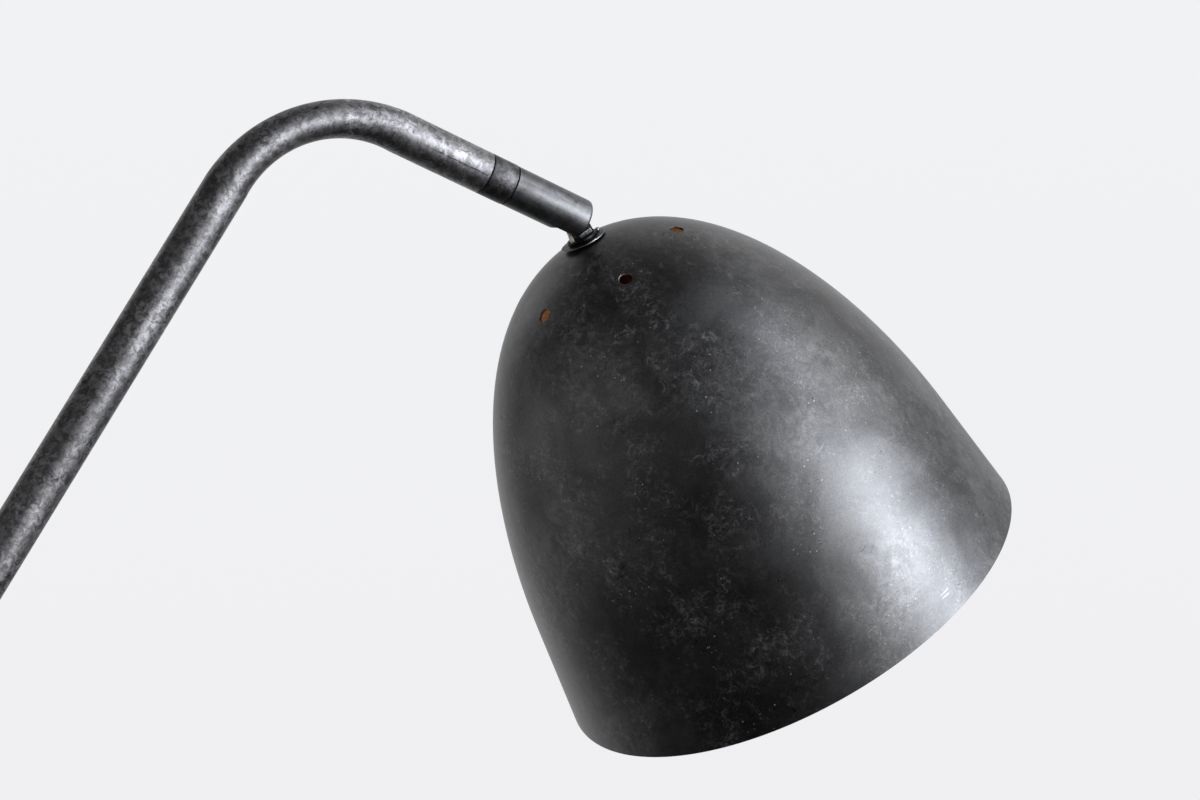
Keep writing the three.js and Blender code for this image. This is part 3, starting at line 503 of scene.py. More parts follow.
@finish
def black_phenolic(s):
    """Moulded phenolic with faint flow lines and dust."""
    at = s.place(1, shade_frame)
    flow = s.noise(at, 60, 5, 0.6, distortion=2.0)
    dust = s.noise(at, 1100, 3, 0.7).between(0.6, 0.8)
    tone = s.mix(flow, (0.008, 0.007, 0.007), (0.022, 0.02, 0.019))
    tone = s.mix(dust * 0.3, tone, (0.1, 0.1, 0.1))
    s.surface({"Base Color": tone, "Roughness": 0.24 + flow * 0.12 + dust * 0.2})


@finish
def white_ceramic(s):
    """Unglazed ceramic with fine pits."""
    at = s.place(1)
    grain = s.noise(at, 600, 4, 0.6)
    pits = 1 - s.cells(at, 900).between(0.1, 0.3)
    tone = s.mix(grain, (0.72, 0.7, 0.65), (0.84, 0.82, 0.78))
    tone = s.mix(pits * 0.4, tone, (0.5, 0.48, 0.44))
    s.surface({"Base Color": tone, "Roughness": 0.5 + grain * 0.2, "Normal": s.bump(1 - pits, 0.2, 0.0002)})


@finish
def clear_lead(s):
    """A glossy clear sheath, cream beyond a wavy line towards the head's rear and brown in front of it."""
    at = s.place(1000, head_frame)
    grain = s.noise(at, 0.7, 3, 0.6)
    wavy_split = s.axis(at, "X") + (s.noise(at, 0.12, 2, 0.5) - 0.5) * 1.2
    cream = s.mix(grain, (0.62, 0.55, 0.45), (0.84, 0.79, 0.7))
    brown = s.mix(grain, (0.05, 0.026, 0.014), (0.13, 0.07, 0.035))
    tone = s.mix(wavy_split.between(5.5, 6.3), brown, cream)
    s.surface({"Base Color": tone, "Roughness": 0.3 + grain * 0.1, "Coat Weight": 0.5})


@finish
def opal_glass(s):
    """Lit opal glass, brighter at the waist than at the neck."""
    at = s.place(1, shade_frame)
    cloud = s.noise(at, 60, 3, 0.5)
    glow = s.mix(s.axis(at, "Z").between(0.08, 0.13), (0.8, 0.42, 0.18), (1.0, 0.72, 0.43))
    glow = s.mix(cloud.between(0.35, 0.65) * 0.25, glow, (1.0, 0.62, 0.32))
    lit = {"Emission Color": glow, "Emission Strength": 4.0}
    s.surface({"Base Color": (0.9, 0.86, 0.78), "Roughness": 0.15, **lit})


# ------------------------------------------------------------------ making pieces


def only(piece):
    """Makes this the one selected, active piece."""
    bpy.ops.object.select_all(action="DESELECT")
    piece.select_set(True)
    bpy.context.view_layer.objects.active = piece


def settle(piece):
    """Puts the piece's place into its mesh."""
    only(piece)
    bpy.ops.object.transform_apply(location=True, rotation=True, scale=True)


def close_rims(wall=False):
    """In edit mode: caps each open rim, or joins two rims by a wall, and turns all faces outwards."""
    bpy.ops.mesh.select_mode(type="VERT")
    bpy.ops.mesh.select_all(action="DESELECT")
    bpy.ops.mesh.select_non_manifold(extend=False, use_wire=False, use_multi_face=False, use_verts=False)
    if wall:
        bpy.ops.mesh.bridge_edge_loops()
    else:
        bpy.ops.mesh.fill_holes(sides=0)
    bpy.ops.mesh.select_all(action="SELECT")
    bpy.ops.mesh.normals_make_consistent(inside=False)


def turned(name, profile, sides=64, ends="caps"):
    """A round piece drawn ring by ring about Z. The profile holds radius and height in millimetres.
    ends is caps, ring (the last ring joins the first) or open. A radius of 0 at the end closes in a point."""
    (radius, height), *others = profile
    bpy.ops.object.select_all(action="DESELECT")
    bpy.ops.mesh.primitive_circle_add(vertices=sides, radius=radius * MM, location=(0, 0, height * MM))
    piece = bpy.context.object
    piece.name = name
    settle(piece)
    bpy.ops.object.mode_set(mode="EDIT")
    bpy.ops.mesh.select_mode(type="VERT")
    bpy.ops.mesh.select_all(action="SELECT")
    for next_radius, next_height in others:
        rise = (0, 0, (next_height - height) * MM)
        bpy.ops.mesh.extrude_region_move(TRANSFORM_OT_translate={"value": rise})
        if next_radius == 0:
            bpy.ops.mesh.merge(type="CENTER")
        elif next_radius != radius:
            grow = next_radius / radius
            bpy.ops.transform.resize(value=(grow, grow, 1), center_override=(0, 0, 0))
        radius, height = next_radius, next_height
    if ends == "open":
        bpy.ops.mesh.select_all(action="SELECT")
        bpy.ops.mesh.normals_make_consistent(inside=False)
    else:
        close_rims(wall=ends == "ring")
    bpy.ops.object.mode_set(mode="OBJECT")
    return piece


def applied(piece, kind, **settings):
    """The piece with a modifier of this kind applied."""
    only(piece)
    modifier = piece.modifiers.new(kind.lower(), kind)
    for name, value in settings.items():
        setattr(modifier, name, value)
    bpy.ops.object.modifier_apply(modifier=modifier.name)
    return piece


def bevelled(piece, width, segments=2, angle=35):
    """Breaks the piece's sharp edges by a width in millimetres."""
    limit = math.radians(angle)
    return applied(
        piece, "BEVEL", width=width * MM, segments=segments, limit_method="ANGLE", angle_limit=limit
    )


def carved(piece, *cutters):
    """Cuts the cutters out of the piece and uses them up."""
    for cutter in cutters:
        applied(piece, "BOOLEAN", operation="DIFFERENCE", solver="EXACT", object=cutter)
        bpy.data.objects.remove(cutter)
    return piece


def fused(piece, *others):
    """Joins the others into the piece and uses them up."""
    for other in others:
        applied(piece, "BOOLEAN", operation="UNION", solver="EXACT", object=other)
        bpy.data.objects.remove(other)
    return piece


def dress(piece, node, material):
    """Gives the piece its finish and hides the plain solid it stands for."""
    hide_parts(node)
    if material:
        piece.data.materials.clear()
        piece.data.materials.append(material)


def seated(piece, where, body, node, material, smooth=35):
    """Sets a finished piece at its place on the lamp, on the body that carries it."""
    piece.matrix_world = where
    settle(piece)
    bpy.ops.object.shade_smooth_by_angle(angle=math.radians(smooth))
    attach(piece, body)
    dress(piece, node, material)


def disc_cutter(radius, low, high, sides=48):
    """A plain round cutter along Z, in millimetres."""
    bpy.ops.object.select_all(action="DESELECT")
    bpy.ops.mesh.primitive_cylinder_add(
        vertices=sides, radius=radius * MM, depth=(high - low) * MM, location=(0, 0, (low + high) / 2 * MM)
    )
    cutter = bpy.context.object
    settle(cutter)
    return cutter


def lying(piece, angle=math.pi / 2, axis="Y", shift=(0, 0, 0)):
    """Turns a piece about the origin, then shifts it by millimetres."""
    piece.matrix_world = Matrix.Translation(Vector(shift) * MM) @ Matrix.Rotation(angle, 4, axis)
    settle(piece)
    return piece


def box_piece(name, x, y, z):
    """A block between two values along each axis, in millimetres."""
    bpy.ops.object.select_all(action="DESELECT")
    centre = [(low + high) / 2 * MM for low, high in (x, y, z)]
    bpy.ops.mesh.primitive_cube_add(size=1, location=centre)
    piece = bpy.context.object
    piece.name = name
    piece.scale = [(high - low) * MM for low, high in (x, y, z)]
    settle(piece)
    return piece


# ------------------------------------------------------------------ shade


def bezier(share, *points):
    """A point of a cubic curve."""
    a, b, c, d = (Vector(point) for point in points)
    left = 1 - share
    return left**3 * a + 3 * left**2 * share * b + 3 * left * share**2 * c + share**3 * d


# Radius and depth of the outside, from the crown's centre to the skirt.
shade_shoulder = (skirt_radius - skirt_flare * shoulder_pull, skirt_top - shoulder_pull)
shade_curve = ((0, 0), (crown_pull, 0), shade_shoulder, (skirt_radius, skirt_top))


def shade_profile():
    """Outside of the shade from its centre hole to its rim, as radius and height."""
    crown_steps, skirt_steps, first_ring = 44, 6, 8.5
    points = [(crown_hole, crown_z)]
    for k in range(crown_steps + 1):
        spot = bezier(k / crown_steps, *shade_curve)
        if spot.x > first_ring:
            points.append((spot.x, crown_z + spot.y))
    for k in range(1, skirt_steps + 1):
        drop = skirt_height * k / skirt_steps
        points.append((skirt_radius + skirt_flare * drop, crown_z + skirt_top + drop))
    return points


def make_shade():
    """The spun bell with its lining, and six countersunk vents round the crown."""
    shade = turned("bell_shade", shade_profile(), 180, "open")
    shade.data.materials.append(shade_steel())
    shade.data.materials.append(shade_lining())
    applied(shade, "SOLIDIFY", thickness=1 * MM, offset=-1, use_even_offset=True, material_offset=1)

    vents, vent_radius, vent_depth, first_turn = 6, 3.5, 15.2, math.radians(-20)
    # Goes down the outside to the vents' depth, for the slope there.
    share, step = 0.0, 0.0005
    while bezier(share, *shade_curve).y < vent_depth:
        share += step
    here, beyond = bezier(share, *shade_curve), bezier(share + 2 * step, *shade_curve)
    slope = math.atan2(beyond.y - here.y, beyond.x - here.x)
    place = Matrix.Translation((here.x * MM, 0, (crown_z + here.y) * MM)) @ Matrix.Rotation(-slope, 4, "Y")
    for k in range(vents):
        profile = [(vent_radius + 0.85, -0.4), (vent_radius, 0.45), (vent_radius, 4)]
        cutter = turned("vent_cutter", profile, 48)
        cutter.matrix_world = Matrix.Rotation(first_turn + k * 2 * math.pi / vents, 4, "Z") @ place
        settle(cutter)
        carved(shade, cutter)
    seated(shade, shade_frame, "head", "shade", None)


make_shade()


# ------------------------------------------------------------------ tubes


def bent_round(name, radius, sides, corners, bends, steps):
    """A round tube or rod drawn from corner to corner in the XZ plane and spun round each bend. All in
    millimetres. steps is the number of rings in a bend."""
    heading = (corners[1] - corners[0]).normalized()
    bpy.ops.object.select_all(action="DESELECT")
    facing = heading.to_track_quat("Z", "Y").to_euler()
    bpy.ops.mesh.primitive_circle_add(
        vertices=sides, radius=radius * MM, location=corners[0] * MM, rotation=facing
    )
    piece = bpy.context.object
    piece.name = name
    settle(piece)
    bpy.ops.object.mode_set(mode="EDIT")
    bpy.ops.mesh.select_all(action="SELECT")
    here = corners[0]
    for corner, beyond, bend in zip(corners[1:-1], corners[2:], bends):
        after = (beyond - corner).normalized()
        turn = heading.angle(after)
        reach = bend * math.tan(turn / 2)
        side = 1 if heading.cross(after).y > 0 else -1
        start = corner - heading * reach
        centre = start + side * Vector((heading.z, 0, -heading.x)) * bend
        bpy.ops.mesh.extrude_region_move(TRANSFORM_OT_translate={"value": (start - here) * MM})
        bpy.ops.mesh.spin(steps=steps, angle=-side * turn, center=centre * MM, axis=(0, 1, 0))
        here = corner + after * reach
        heading = after
    bpy.ops.mesh.extrude_region_move(TRANSFORM_OT_translate={"value": (corners[-1] - here) * MM})
    bpy.ops.mesh.select_all(action="SELECT")
    bpy.ops.mesh.remove_doubles(threshold=1e-6)
    bpy.ops.mesh.normals_make_consistent(inside=False)
    bpy.ops.object.mode_set(mode="OBJECT")
    return piece


def press_bend(arm, centre, first, turn):
    """Presses the tube a little flat on its upper bend, most at the middle. centre is the middle of the
    bend's circle, first points from there to the bend's start and turn is the bend's angle."""
    deepest = 0.135
    for vertex in arm.data.vertices:
        spoke = Vector((vertex.co.x, 0, vertex.co.z)) / MM - centre
        angle = first.angle(spoke)
        side = first.cross(spoke).y
        if side > 0 and angle < turn and spoke.length < 1.5 * upper_bend_radius:
            keep = 1 - deepest * math.sin(math.pi * angle / turn) ** 0.8
            distance = upper_bend_radius + (spoke.length - upper_bend_radius) * keep
            moved = centre + spoke.normalized() * distance
            vertex.co.x, vertex.co.z = moved.x * MM, moved.z * MM


def make_upper_arm():
    """The tube from the coupling up, over and down to its end."""
    foot = Vector((pole_x, 0, arm_bottom))
    corners = [foot, lower_corner, upper_corner, arm_end]
    arm = bent_round("bent_tube", tube_radius, 64, corners, [lower_bend_radius, upper_bend_radius], 36)
    leaning = (upper_corner - lower_corner).normalized()
    turn = leaning.angle(along_tip)
    start = upper_corner - leaning * upper_bend_radius * math.tan(turn / 2)
    centre = start + Vector((leaning.z, 0, -leaning.x)) * upper_bend_radius
    press_bend(arm, centre, start - centre, turn)
    applied(arm, "SOLIDIFY", thickness=tube_wall * MM, offset=-1)
    bevelled(arm, 0.25)
    seated(arm, Matrix.Identity(4), "stand", "upper_arm", tube_steel())


make_upper_arm()


def make_straight_pieces():
    """The pole, the coupling on its top and the plug in the arm's end."""
    bore = band_radius - tube_wall
    walls = [(bore, pole_bottom), (band_radius, pole_bottom), (band_radius, pole_top), (bore, pole_top)]
    pole = turned("straight_pole", walls, 64, "ring")
    bush_hole = disc_cutter(3.8, -25, 0)
    bush_hole.matrix_world = bush_frame
    settle(bush_hole)
    bevelled(carved(pole, bush_hole), 0.25)
    seated(pole, pole_frame, "stand", "lower_pole", tube_steel())

    low, reach = pole_top + seam, 30.6
    high = low + collar_length
    band = [(plug_radius, low), (band_radius, low), (band_radius, high), (plug_radius, high)]
    lower_plug = [(lead_bore, low - reach), (plug_radius, low - reach)]
    upper_plug = [(plug_radius, high + reach), (lead_bore, high + reach)]
    coupling = turned("pole_coupling_band", [*lower_plug, *band, *upper_plug], 64, "ring")
    bevelled(coupling, 0.35)
    seated(coupling, pole_frame, "stand", "pole_coupling", collar_steel())

    low, high = seam, seam + collar_length
    stem_radius, stem_end = 5, 25
    band = [(plug_radius, low), (band_radius, low), (band_radius, high), (stem_radius, high)]
    inner_plug = [(lead_bore, -30), (plug_radius, -30)]
    stem = [(stem_radius, stem_end), (lead_bore, stem_end)]
    plug = turned("arm_end_band", [*inner_plug, *band, *stem], 64, "ring")
    bevelled(plug, 0.35)
    seated(plug, tip_frame, "stand", "arm_end_plug", collar_steel())


make_straight_pieces()


# ------------------------------------------------------------------ swivel and knuckle


def mouth_cutter(ceiling, near=mouth_half):
    """Slot with a round rear end, open below and at the sleeve's end. near is its reach to the front side."""
    middle = mouth_start + mouth_half
    round_end = lying(disc_cutter(mouth_half, ceiling, 25), shift=(0, 0, middle))
    if near < mouth_half:
        lip = box_piece("lip", (ceiling - 1, 26), (-mouth_half - 1, -near), (mouth_start - 1, sleeve_end))
        carved(round_end, lip)
    slot_body = box_piece("slot_body", (ceiling, 25), (-near, mouth_half), (middle, sleeve_end + 5))
    return fused(round_end, slot_body)


def pivot_cutter(radius, low, high, along=0):
    """A round cutter along the tilt pivot, at a place along the arm's tip."""
    return lying(disc_cutter(radius, low, high, 32), axis="X", shift=(0, 0, along))


def make_sleeve():
    """The turning sleeve: hollow, with a rounded end, a mouth below and a slot for the tongue."""
    rounding, steps = 2.2, 8
    corner = []
    for k in range(steps + 1):
        angle = k / steps * math.pi / 2
        radius = sleeve_radius - rounding + rounding * math.cos(angle)
        corner.append((radius, sleeve_end - rounding + rounding * math.sin(angle)))
    cover = turned("swivel_cover", [(sleeve_radius, sleeve_start), *corner, (0, sleeve_end)], 96)
    hollow = disc_cutter(9.6, sleeve_start - 1, sleeve_end - 1.2, 96)
    slot = box_piece("slot", (-6.5, 22), (-slot_half, slot_half), (sleeve_end - 1.5, sleeve_end + 5))
    mouth = lying(mouth_cutter(3, mouth_near), math.radians(5), "Z")
    carved(cover, hollow, mouth, slot)
    bevelled(cover, 0.18, 3)
    seated(cover, tip_frame, "swivel", "swivel_sleeve", sleeve_steel())


def make_fork():
    """The plug in the sleeve: a chamber for the nut, then two cheeks."""
    fork = disc_cutter(9.3, sleeve_start + 0.15, 60.4, 96)
    fork.name = "fork_plug"
    carved(
        fork,
        disc_cutter(5.3, sleeve_start - 1, 21),
        disc_cutter(8.1, 19.9, 45.1, 64),
        box_piece("slot", (-6.5, 25), (-slot_half, slot_half), (44, sleeve_end + 5)),
        mouth_cutter(8),
        pivot_cutter(pivot_bore, -12, 12, pivot_z),
        pivot_cutter(pivot_recess, 5.5, 12, pivot_z),
        pivot_cutter(pivot_recess, -12, -5.5, pivot_z),
    )
    bevelled(fork, 0.25)
    seated(fork, tip_frame, "swivel", "swivel_fork", plated_steel())


def make_knuckle():
    """Tongue, shoulder, leaning boss and hollow shank."""
    tongue = lying(disc_cutter(3.6, -2, 2, 64), axis="X")
    tongue.name = "tongue_and_boss"
    web = box_piece("web", (-6.2, 3.6), (-2, 2), (0, 14))
    bpy.ops.object.mode_set(mode="EDIT")
    bpy.ops.mesh.select_all(action="SELECT")
    # The web widens in a straight line from the tongue's round.
    touch = Vector((-3.38, 0, -1.23))
    across = Vector((-6.2, 0, 8.4)) - touch
    outwards = (-across.z, 0, across.x)
    bpy.ops.mesh.bisect(plane_co=touch * MM, plane_no=outwards, clear_outer=True, use_fill=True)
    bpy.ops.object.mode_set(mode="OBJECT")
    fused(tongue, web)
    carved(tongue, pivot_cutter(pivot_bore, -12, 12))
    bevelled(tongue, 0.2)
    shoulder = bevelled(box_piece("shoulder", (-4.4, 3.6), (-4.4, 4.4), (10.9, 14.2)), 0.3, 3)
    barrel = [(boss_radius, boss_top - washer_top), (boss_radius, boss_bottom - washer_top)]
    boss = turned("boss", barrel, 128)
    bevelled(boss, 0.3, 3)
    boss.matrix_world = head_frame.inverted() @ boss_frame
    settle(boss)
    shank = lying(disc_cutter(shank_radius, 14, shank_end, 96), 0, shift=(knuckle_offset, 0, 0))
    bevelled(shank, 0.4)
    fused(tongue, shoulder, boss, shank)
    bore = lying(disc_cutter(4.2, 16.05, 40, 64), 0, shift=(knuckle_offset, 0, 0))
    tilt = math.atan2(lead_bend.x - lead_entry.x, lead_bend.z - lead_entry.z)
    entry = lying(disc_cutter(lead_bore, -4, 11, 48), tilt, shift=lead_entry)
    carved(tongue, bore, entry)
    seated(tongue, head_frame, "head", "knuckle", knuckle_steel())


def make_crown_pieces():
    """The washer on the crown and the small screw beside the boss."""
    edge = [(washer_radius, 0), (washer_radius, washer_bottom - washer_top)]
    washer = turned("crown_washer_ring", edge, 160)
    washer.matrix_world = head_frame.inverted() @ boss_frame
    settle(washer)
    for radius, x in ((crown_hole, knuckle_offset), (1.3, knuckle_offset + crown_screw_x)):
        carved(washer, lying(disc_cutter(radius, 10, 20, 64), 0, shift=(x, 0, 0)))
    bevelled(washer, 0.12, 3)
    seated(washer, head_frame, "head", "crown_washer", washer_steel())

    under = 15.585
    shank = [(1, under + 5.5), (1, under)]
    button = [(1.4, under), (1.4, under - 0.8), (1.25, under - 1.15), (0.9, under - 1.4), (0, under - 1.4)]
    screw = turned("crown_screw_head", [*shank, *button], 48)
    carved(screw, box_piece("driver_slot", (-3, 3), (-0.22, 0.22), (under - 2, under - 0.85)))
    bevelled(screw, 0.06)
    place = shade_frame @ Matrix.Translation((crown_screw_x * MM, 0, 0)) @ Matrix.Rotation(0.6, 4, "Z")
    seated(screw, place, "head", "crown_screw", plated_steel())


def make_knuckle_cable():
    """The lead from the sleeve past the tongue, into the boss and on to the holder."""
    clearance = 5.5
    corners = [
        tip_frame @ Vector((0, 0, lead_start * MM)),
        tip_frame @ Vector((0, 0, (pivot_z - clearance / math.sin(rest_tilt)) * MM)),
        head_frame @ Vector((clearance * MM, 0, (boss_top - 4.5) * MM)),
        head_frame @ (lead_entry * MM),
        head_frame @ (lead_bend * MM),
        head_frame @ Vector((knuckle_offset * MM, 0, (shank_end - 4.2) * MM)),
        head_frame @ Vector((knuckle_offset * MM, 0, lead_end * MM)),
    ]
    bends = [20, 12, 6, 12, 12]
    lead = bent_round("lead_through_knuckle", 1.5, 32, [corner / MM for corner in corners], bends, 12)
    bpy.ops.object.mode_set(mode="EDIT")
    close_rims()
    bpy.ops.object.mode_set(mode="OBJECT")
    bpy.ops.object.shade_smooth_by_angle(angle=math.radians(35))
    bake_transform(lead)
    dress(lead, "knuckle_cable", clear_lead())


make_sleeve()
make_fork()
make_knuckle()
make_crown_pieces()
make_knuckle_cable()


# ------------------------------------------------------------------ lampholder and bulb


def make_holder():
    """The lampholder's domed cap and its grooved body."""
    shoulder = holder_top + 9
    steps = 14
    curve = ((9.4, shoulder), (13.4, shoulder), (18.5, shoulder), (18.5, cap_end))
    outside = [tuple(bezier(k / steps, *curve)) for k in range(steps + 1)]
    wall = 1.8
    inside = [(r - wall, z + wall * (cap_end - z) / (cap_end - shoulder)) for r, z in outside]
    neck = [(crown_hole, holder_top), (9.4, holder_top)]
    cap = turned("holder_dome", [*neck, *outside, *reversed(inside)], 96, "ring")
    bevelled(cap, 0.3)
    seated(cap, shade_frame, "head", "holder_cap", black_phenolic())

    low = cap_end + 0.15
    skirt = [(17.7, low), (18.5, low), (19.5, low + 6)]
    for k in range(3):
        groove = low + 10 + 4 * k
        skirt += [(19.5, groove), (19.1, groove + 0.5), (19.1, groove + 1.1), (19.5, groove + 1.6)]
    lip = body_end - wall
    skirt += [(19.5, body_end - 1), (18.5, body_end), (14.2, body_end), (14.2, lip), (17.7, lip)]
    body = turned("holder_skirt", skirt, 96, "ring")
    bevelled(body, 0.2)
    seated(body, shade_frame, "head", "holder_body", black_phenolic())


def make_bulb():
    """The bulb's threaded cap and its glass, which has a wall of its own."""
    radius, depth, threads, steps = 13, 0.35, 4, 48
    first, last = bulb_start + 4, bulb_cap_end - 2
    flank = []
    for k in range(steps + 1):
        wave = depth * math.sin(2 * math.pi * threads * k / steps)
        flank.append((radius - depth + wave, first + (last - first) * k / steps))
    inner = radius - 2 * depth - 0.4
    tip = [(3, bulb_start), (11, first - depth)]
    mouth = [(radius - depth, bulb_cap_end), (inner, bulb_cap_end), (inner, first + 0.4)]
    cap = turned("bulb_screw_cap", [*tip, *flank, *mouth], 72)
    seated(cap, shade_frame, "head", "bulb_cap", bulb_nickel(), 50)

    neck, wide, length, wall = 11.6, 30, 80, 0.8
    centre = bulb_cap_end + length - wide
    curve = ((neck, bulb_cap_end), (neck + 1, bulb_cap_end + 13.33), (wide, centre - 27), (wide, centre))
    outside = [(neck, bulb_cap_end - 6)] + [tuple(bezier(k / 20, *curve)) for k in range(21)]
    inside = [(r - wall, z) for r, z in outside]
    for k in range(1, 17):
        angle = k / 16 * math.pi / 2
        outside.append((wide * math.cos(angle), centre + wide * math.sin(angle)))
        inside.append(((wide - wall) * math.cos(angle), centre + (wide - wall) * math.sin(angle)))
    outside[-1], inside[-1] = (0, centre + wide), (0, centre + wide - wall)
    glass = turned("bulb_envelope", outside, 96, "open")
    hollow = turned("bulb_inside", inside, 96, "open")
    only(glass)
    hollow.select_set(True)
    bpy.ops.object.join()
    bpy.ops.object.mode_set(mode="EDIT")
    close_rims(wall=True)
    bpy.ops.object.mode_set(mode="OBJECT")
    seated(glass, shade_frame, "head", "bulb_glass", opal_glass(), 50)


make_holder()
make_bulb()

# ------------------------------------------------------------------ base


def make_base():
    """The plate, the felt under it and the foot that the pole stands on."""
    plate = turned("round_base", [(base_radius, base_bottom), (base_radius, base_top)], 256)
    bevelled(plate, 1.5, 4)
    pad = turned("felt_disc", [(pad_radius, 0), (pad_radius, base_bottom)], 256)
    cutters = [
        (plate, disc_cutter(6.3, 0, 20)),
        (plate, disc_cutter(recess_radius, -2, base_bottom + recess_depth, 64)),
        (pad, disc_cutter(recess_radius, -2, 5, 64)),
    ]
    for piece, cutter in cutters:
        cutter.matrix_world = pole_frame
        settle(cutter)
        carved(piece, cutter)
    seated(plate, Matrix.Identity(4), "stand", "base_plate", base_steel())
    seated(pad, Matrix.Identity(4), "stand", "base_pad", grey_felt())

    flange_top = base_top + 12
    stud_end = base_bottom + recess_depth - foot_washer_height - foot_nut_height - 1
    stud = [(6, stud_end), (6, base_top)]
    flange = [(17, base_top), (17, flange_top - 1), (16, flange_top)]
    plug = [(plug_radius, flange_top), (plug_radius, pole_bottom + 30)]
    foot = turned("pole_flange", [*stud, *flange, *plug], 128)
    bevelled(foot, 0.35, 3)
    seated(foot, pole_frame, "stand", "pole_foot", tube_steel())


def make_bush():
    """The rubber bush that lines the hole in the pole, with a rounded flange outside."""
    outer, inner = -11.3, -8.5
    flange = [(1.8, outer - 1.5), (5.1, outer - 1.5), (5.5, outer - 1.1), (5.5, outer)]
    neck = [(3.2, outer), (3.2, inner), (1.8, inner)]
    bush = turned("cable_grommet", [*flange, *neck], 64, "ring")
    bevelled(bush, 0.2)
    seated(bush, pole_frame @ bush_frame, "stand", "cable_bush", black_rubber())


make_base()
make_bush()

# ------------------------------------------------------------------ finishes of the plain solids

for name, maker in {
    "foot_washer": plated_steel,
    "foot_nut": plated_steel,
    "arm_cable": clear_lead,
    "swivel_washer": black_fibre,
    "swivel_nut": plated_steel,
    "pivot_screw": plated_steel,
    "pivot_nut": plated_steel,
    "friction_washer_near": black_fibre,
    "friction_washer_far": black_fibre,
    "backing_washer": plated_steel,
    "ring_nut": bright_brass,
    "terminal_block": white_ceramic,
    "screw_shell": bright_brass,
    "centre_contact": bright_brass,
}.items():
    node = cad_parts[name]
    node.data.materials.clear()
    node.data.materials.append(maker())

# ------------------------------------------------------------------ stage

head_middle = Vector((0.5, 0, 1.3))
daylight = (0.94, 0.985, 1.1)
# Azimuth, elevation, sharpness and strength of each pale patch that the metal mirrors.
room_patches = (
    (160, 10, 40, 2.0),
    (156, -8, 40, 1.2),
    (115, 33, 50, 1.6),
    (45, 20, 4, 0.79),
    (0, -20, 7, 0.52),
    (20, -8, 14, 0.25),
    (-20, 20, 40, 0.6),
    (-60, -10, 40, 0.5),
    (-120, 20, 40, 0.27),
    (-90, 0, 12, 0.27),
    (128, 27, 80, 0.5),
    (130, 36, 120, 0.8),
    (143, 52, 120, 0.8),
    (122, 2, 60, 0.4),
    (135, 15, 6, 0.32),
    (142, -22, 30, 0.4),
)


def set_camera():
    """In front and to the left of the head, near its height, looking slightly down."""
    data = bpy.data.cameras.new("camera")
    data.sensor_width = 36
    data.lens = 67.09
    camera = bpy.data.objects.new("camera", data)
    camera.location = (-0.05434, -1.0592, 1.41587)
    camera.rotation_euler = Vector((0.4421, 0.8911, -0.1030)).to_track_quat("-Z", "Y").to_euler()
    scene.collection.objects.link(camera)
    scene.camera = camera


def towards(azimuth, elevation):
    """Unit vector. Azimuth 0 is +Y and 90 is +X. Both in degrees."""
    turn, rise = math.radians(azimuth), math.radians(elevation)
    return Vector((math.sin(turn) * math.cos(rise), math.cos(turn) * math.cos(rise), math.sin(rise)))


def softbox(name, azimuth, elevation, distance, width, height, radiance, colour=(1, 1, 1)):
    """A rectangular lamp turned to the head, its distance and sizes in metres."""
    data = bpy.data.lights.new(name, "AREA")
    data.shape = "RECTANGLE"
    data.size = width
    data.size_y = height
    data.energy = radiance * math.pi * width * height
    data.color = colour
    away = towards(azimuth, elevation)
    lamp = bpy.data.objects.new(name, data)
    lamp.location = head_middle + away * distance
    lamp.rotation_euler = (-away).to_track_quat("-Z", "Y").to_euler()
    scene.collection.objects.link(lamp)
    return lamp


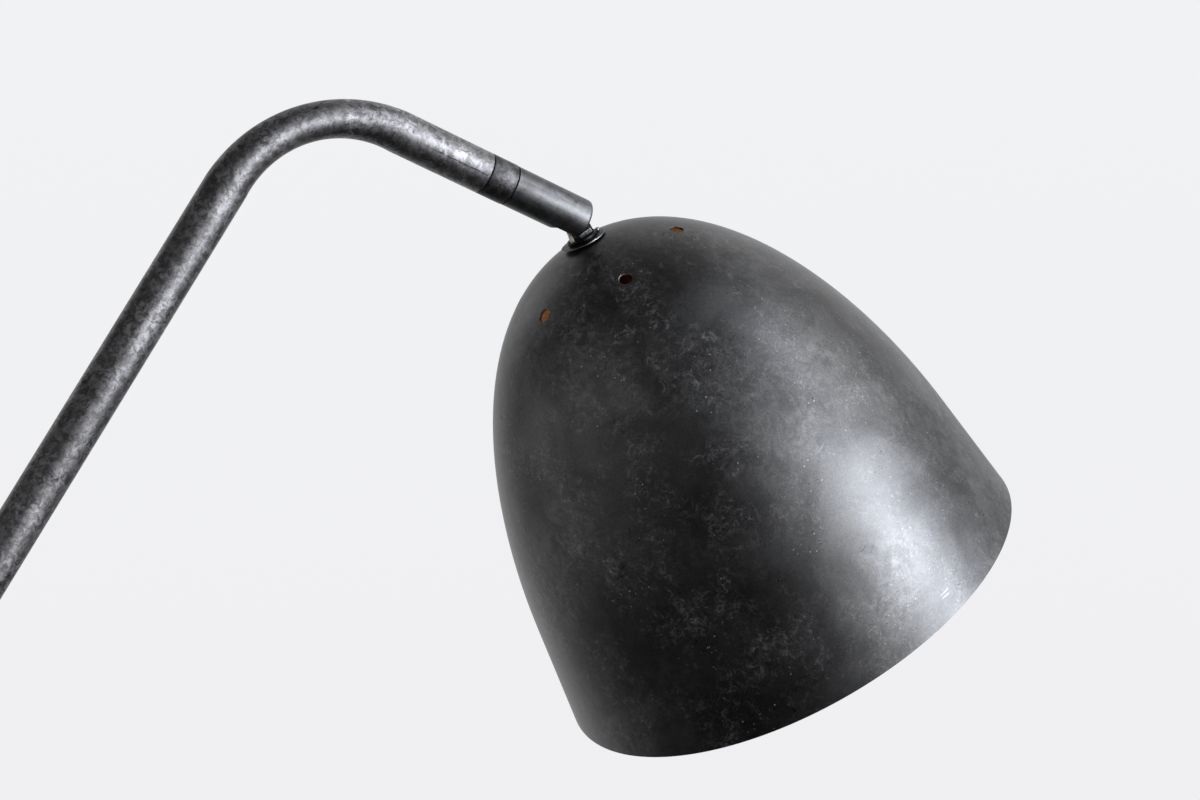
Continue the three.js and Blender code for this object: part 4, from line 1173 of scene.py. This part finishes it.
def set_world():
    """Pale all round for the eye and for matt surfaces. Metal mirrors a dim room with soft pale patches."""
    world = bpy.data.worlds.new("studio")
    scene.world = world
    s = Sheet(world)
    kinds = ("Camera", "Glossy", "Transmission")
    seen, mirrored, through = (s.node("ShaderNodeLightPath", {}, {}, f"Is {kind} Ray") for kind in kinds)
    direction = s.node("ShaderNodeTexCoord", {}, {}, "Generated")
    backdrop = s.mix(s.axis(direction, "Z").between(-0.3, 0.1), (0.868, 0.867, 0.893), (0.88, 0.887, 0.905))
    room = 0
    for azimuth, elevation, sharpness, strength in room_patches:
        sockets = {0: direction, 1: towards(azimuth, elevation)}
        facing = s.node("ShaderNodeVectorMath", {"operation": "DOT_PRODUCT"}, sockets, "Value")
        room = ((facing - 1) * sharpness).maths("EXPONENT") * strength + room
    tinted = s.node("ShaderNodeVectorMath", {"operation": "SCALE"}, {0: (0.99, 0.995, 1.01), "Scale": room})
    plain = s.mix(mirrored, (0.27, 0.27, 0.275), tinted)
    shown = s.mix((seen + through).clamped(), plain, backdrop)
    light = s.node("ShaderNodeBackground", {}, {"Color": shown, "Strength": 1.0})
    s.node("ShaderNodeOutputWorld", {}, {"Surface": light})


def set_floor():
    """Pale floor that holds the lamp's shadow and fades into the background."""
    bpy.ops.object.select_all(action="DESELECT")
    bpy.ops.mesh.primitive_circle_add(vertices=96, radius=2.4, fill_type="NGON", location=(0, 0, 0))
    floor = bpy.context.object
    floor.name = "floor"
    material = bpy.data.materials.new("pale_floor")
    s = Sheet(material)
    at = s.node("ShaderNodeTexCoord", {}, {}, "Object")
    distance = s.length(at)
    seen = s.node("ShaderNodeLightPath", {}, {}, "Is Camera Ray")
    below = s.node("ShaderNodeNewGeometry", {}, {}, "Backfacing")
    diffuse = s.node("ShaderNodeBsdfDiffuse", {}, {"Color": (0.86, 0.865, 0.88, 1)})
    # A glow for the eye alone makes up for less lamplight further out.
    lift = distance.between(0.4, 2.2) * 0.2 + 0.28
    glow = s.node("ShaderNodeEmission", {}, {"Color": (0.92, 0.925, 0.945, 1), "Strength": seen * lift})
    matt = s.node("ShaderNodeAddShader", {}, {0: diffuse, 1: glow})
    clear = s.node("ShaderNodeBsdfTransparent", {}, {})
    share = distance.between(0.9, 2.3).maths("MAXIMUM", below)
    blended = s.node("ShaderNodeMixShader", {}, {0: share, 1: matt, 2: clear})
    s.node("ShaderNodeOutputMaterial", {}, {"Surface": blended})
    floor.data.materials.append(material)
    floor.visible_glossy = False


set_camera()
set_world()
set_floor()
softbox("key_softbox", 141, 9, 2.2, 0.9, 0.9, 7.7, daylight)
softbox("top_softbox", 139, 45, 2.2, 0.55, 0.55, 3.4, daylight)
softbox("fill_softbox", 205, 35, 2.8, 2.6, 2.0, 1.1).visible_glossy = False
scene.view_settings.view_transform = "Standard"
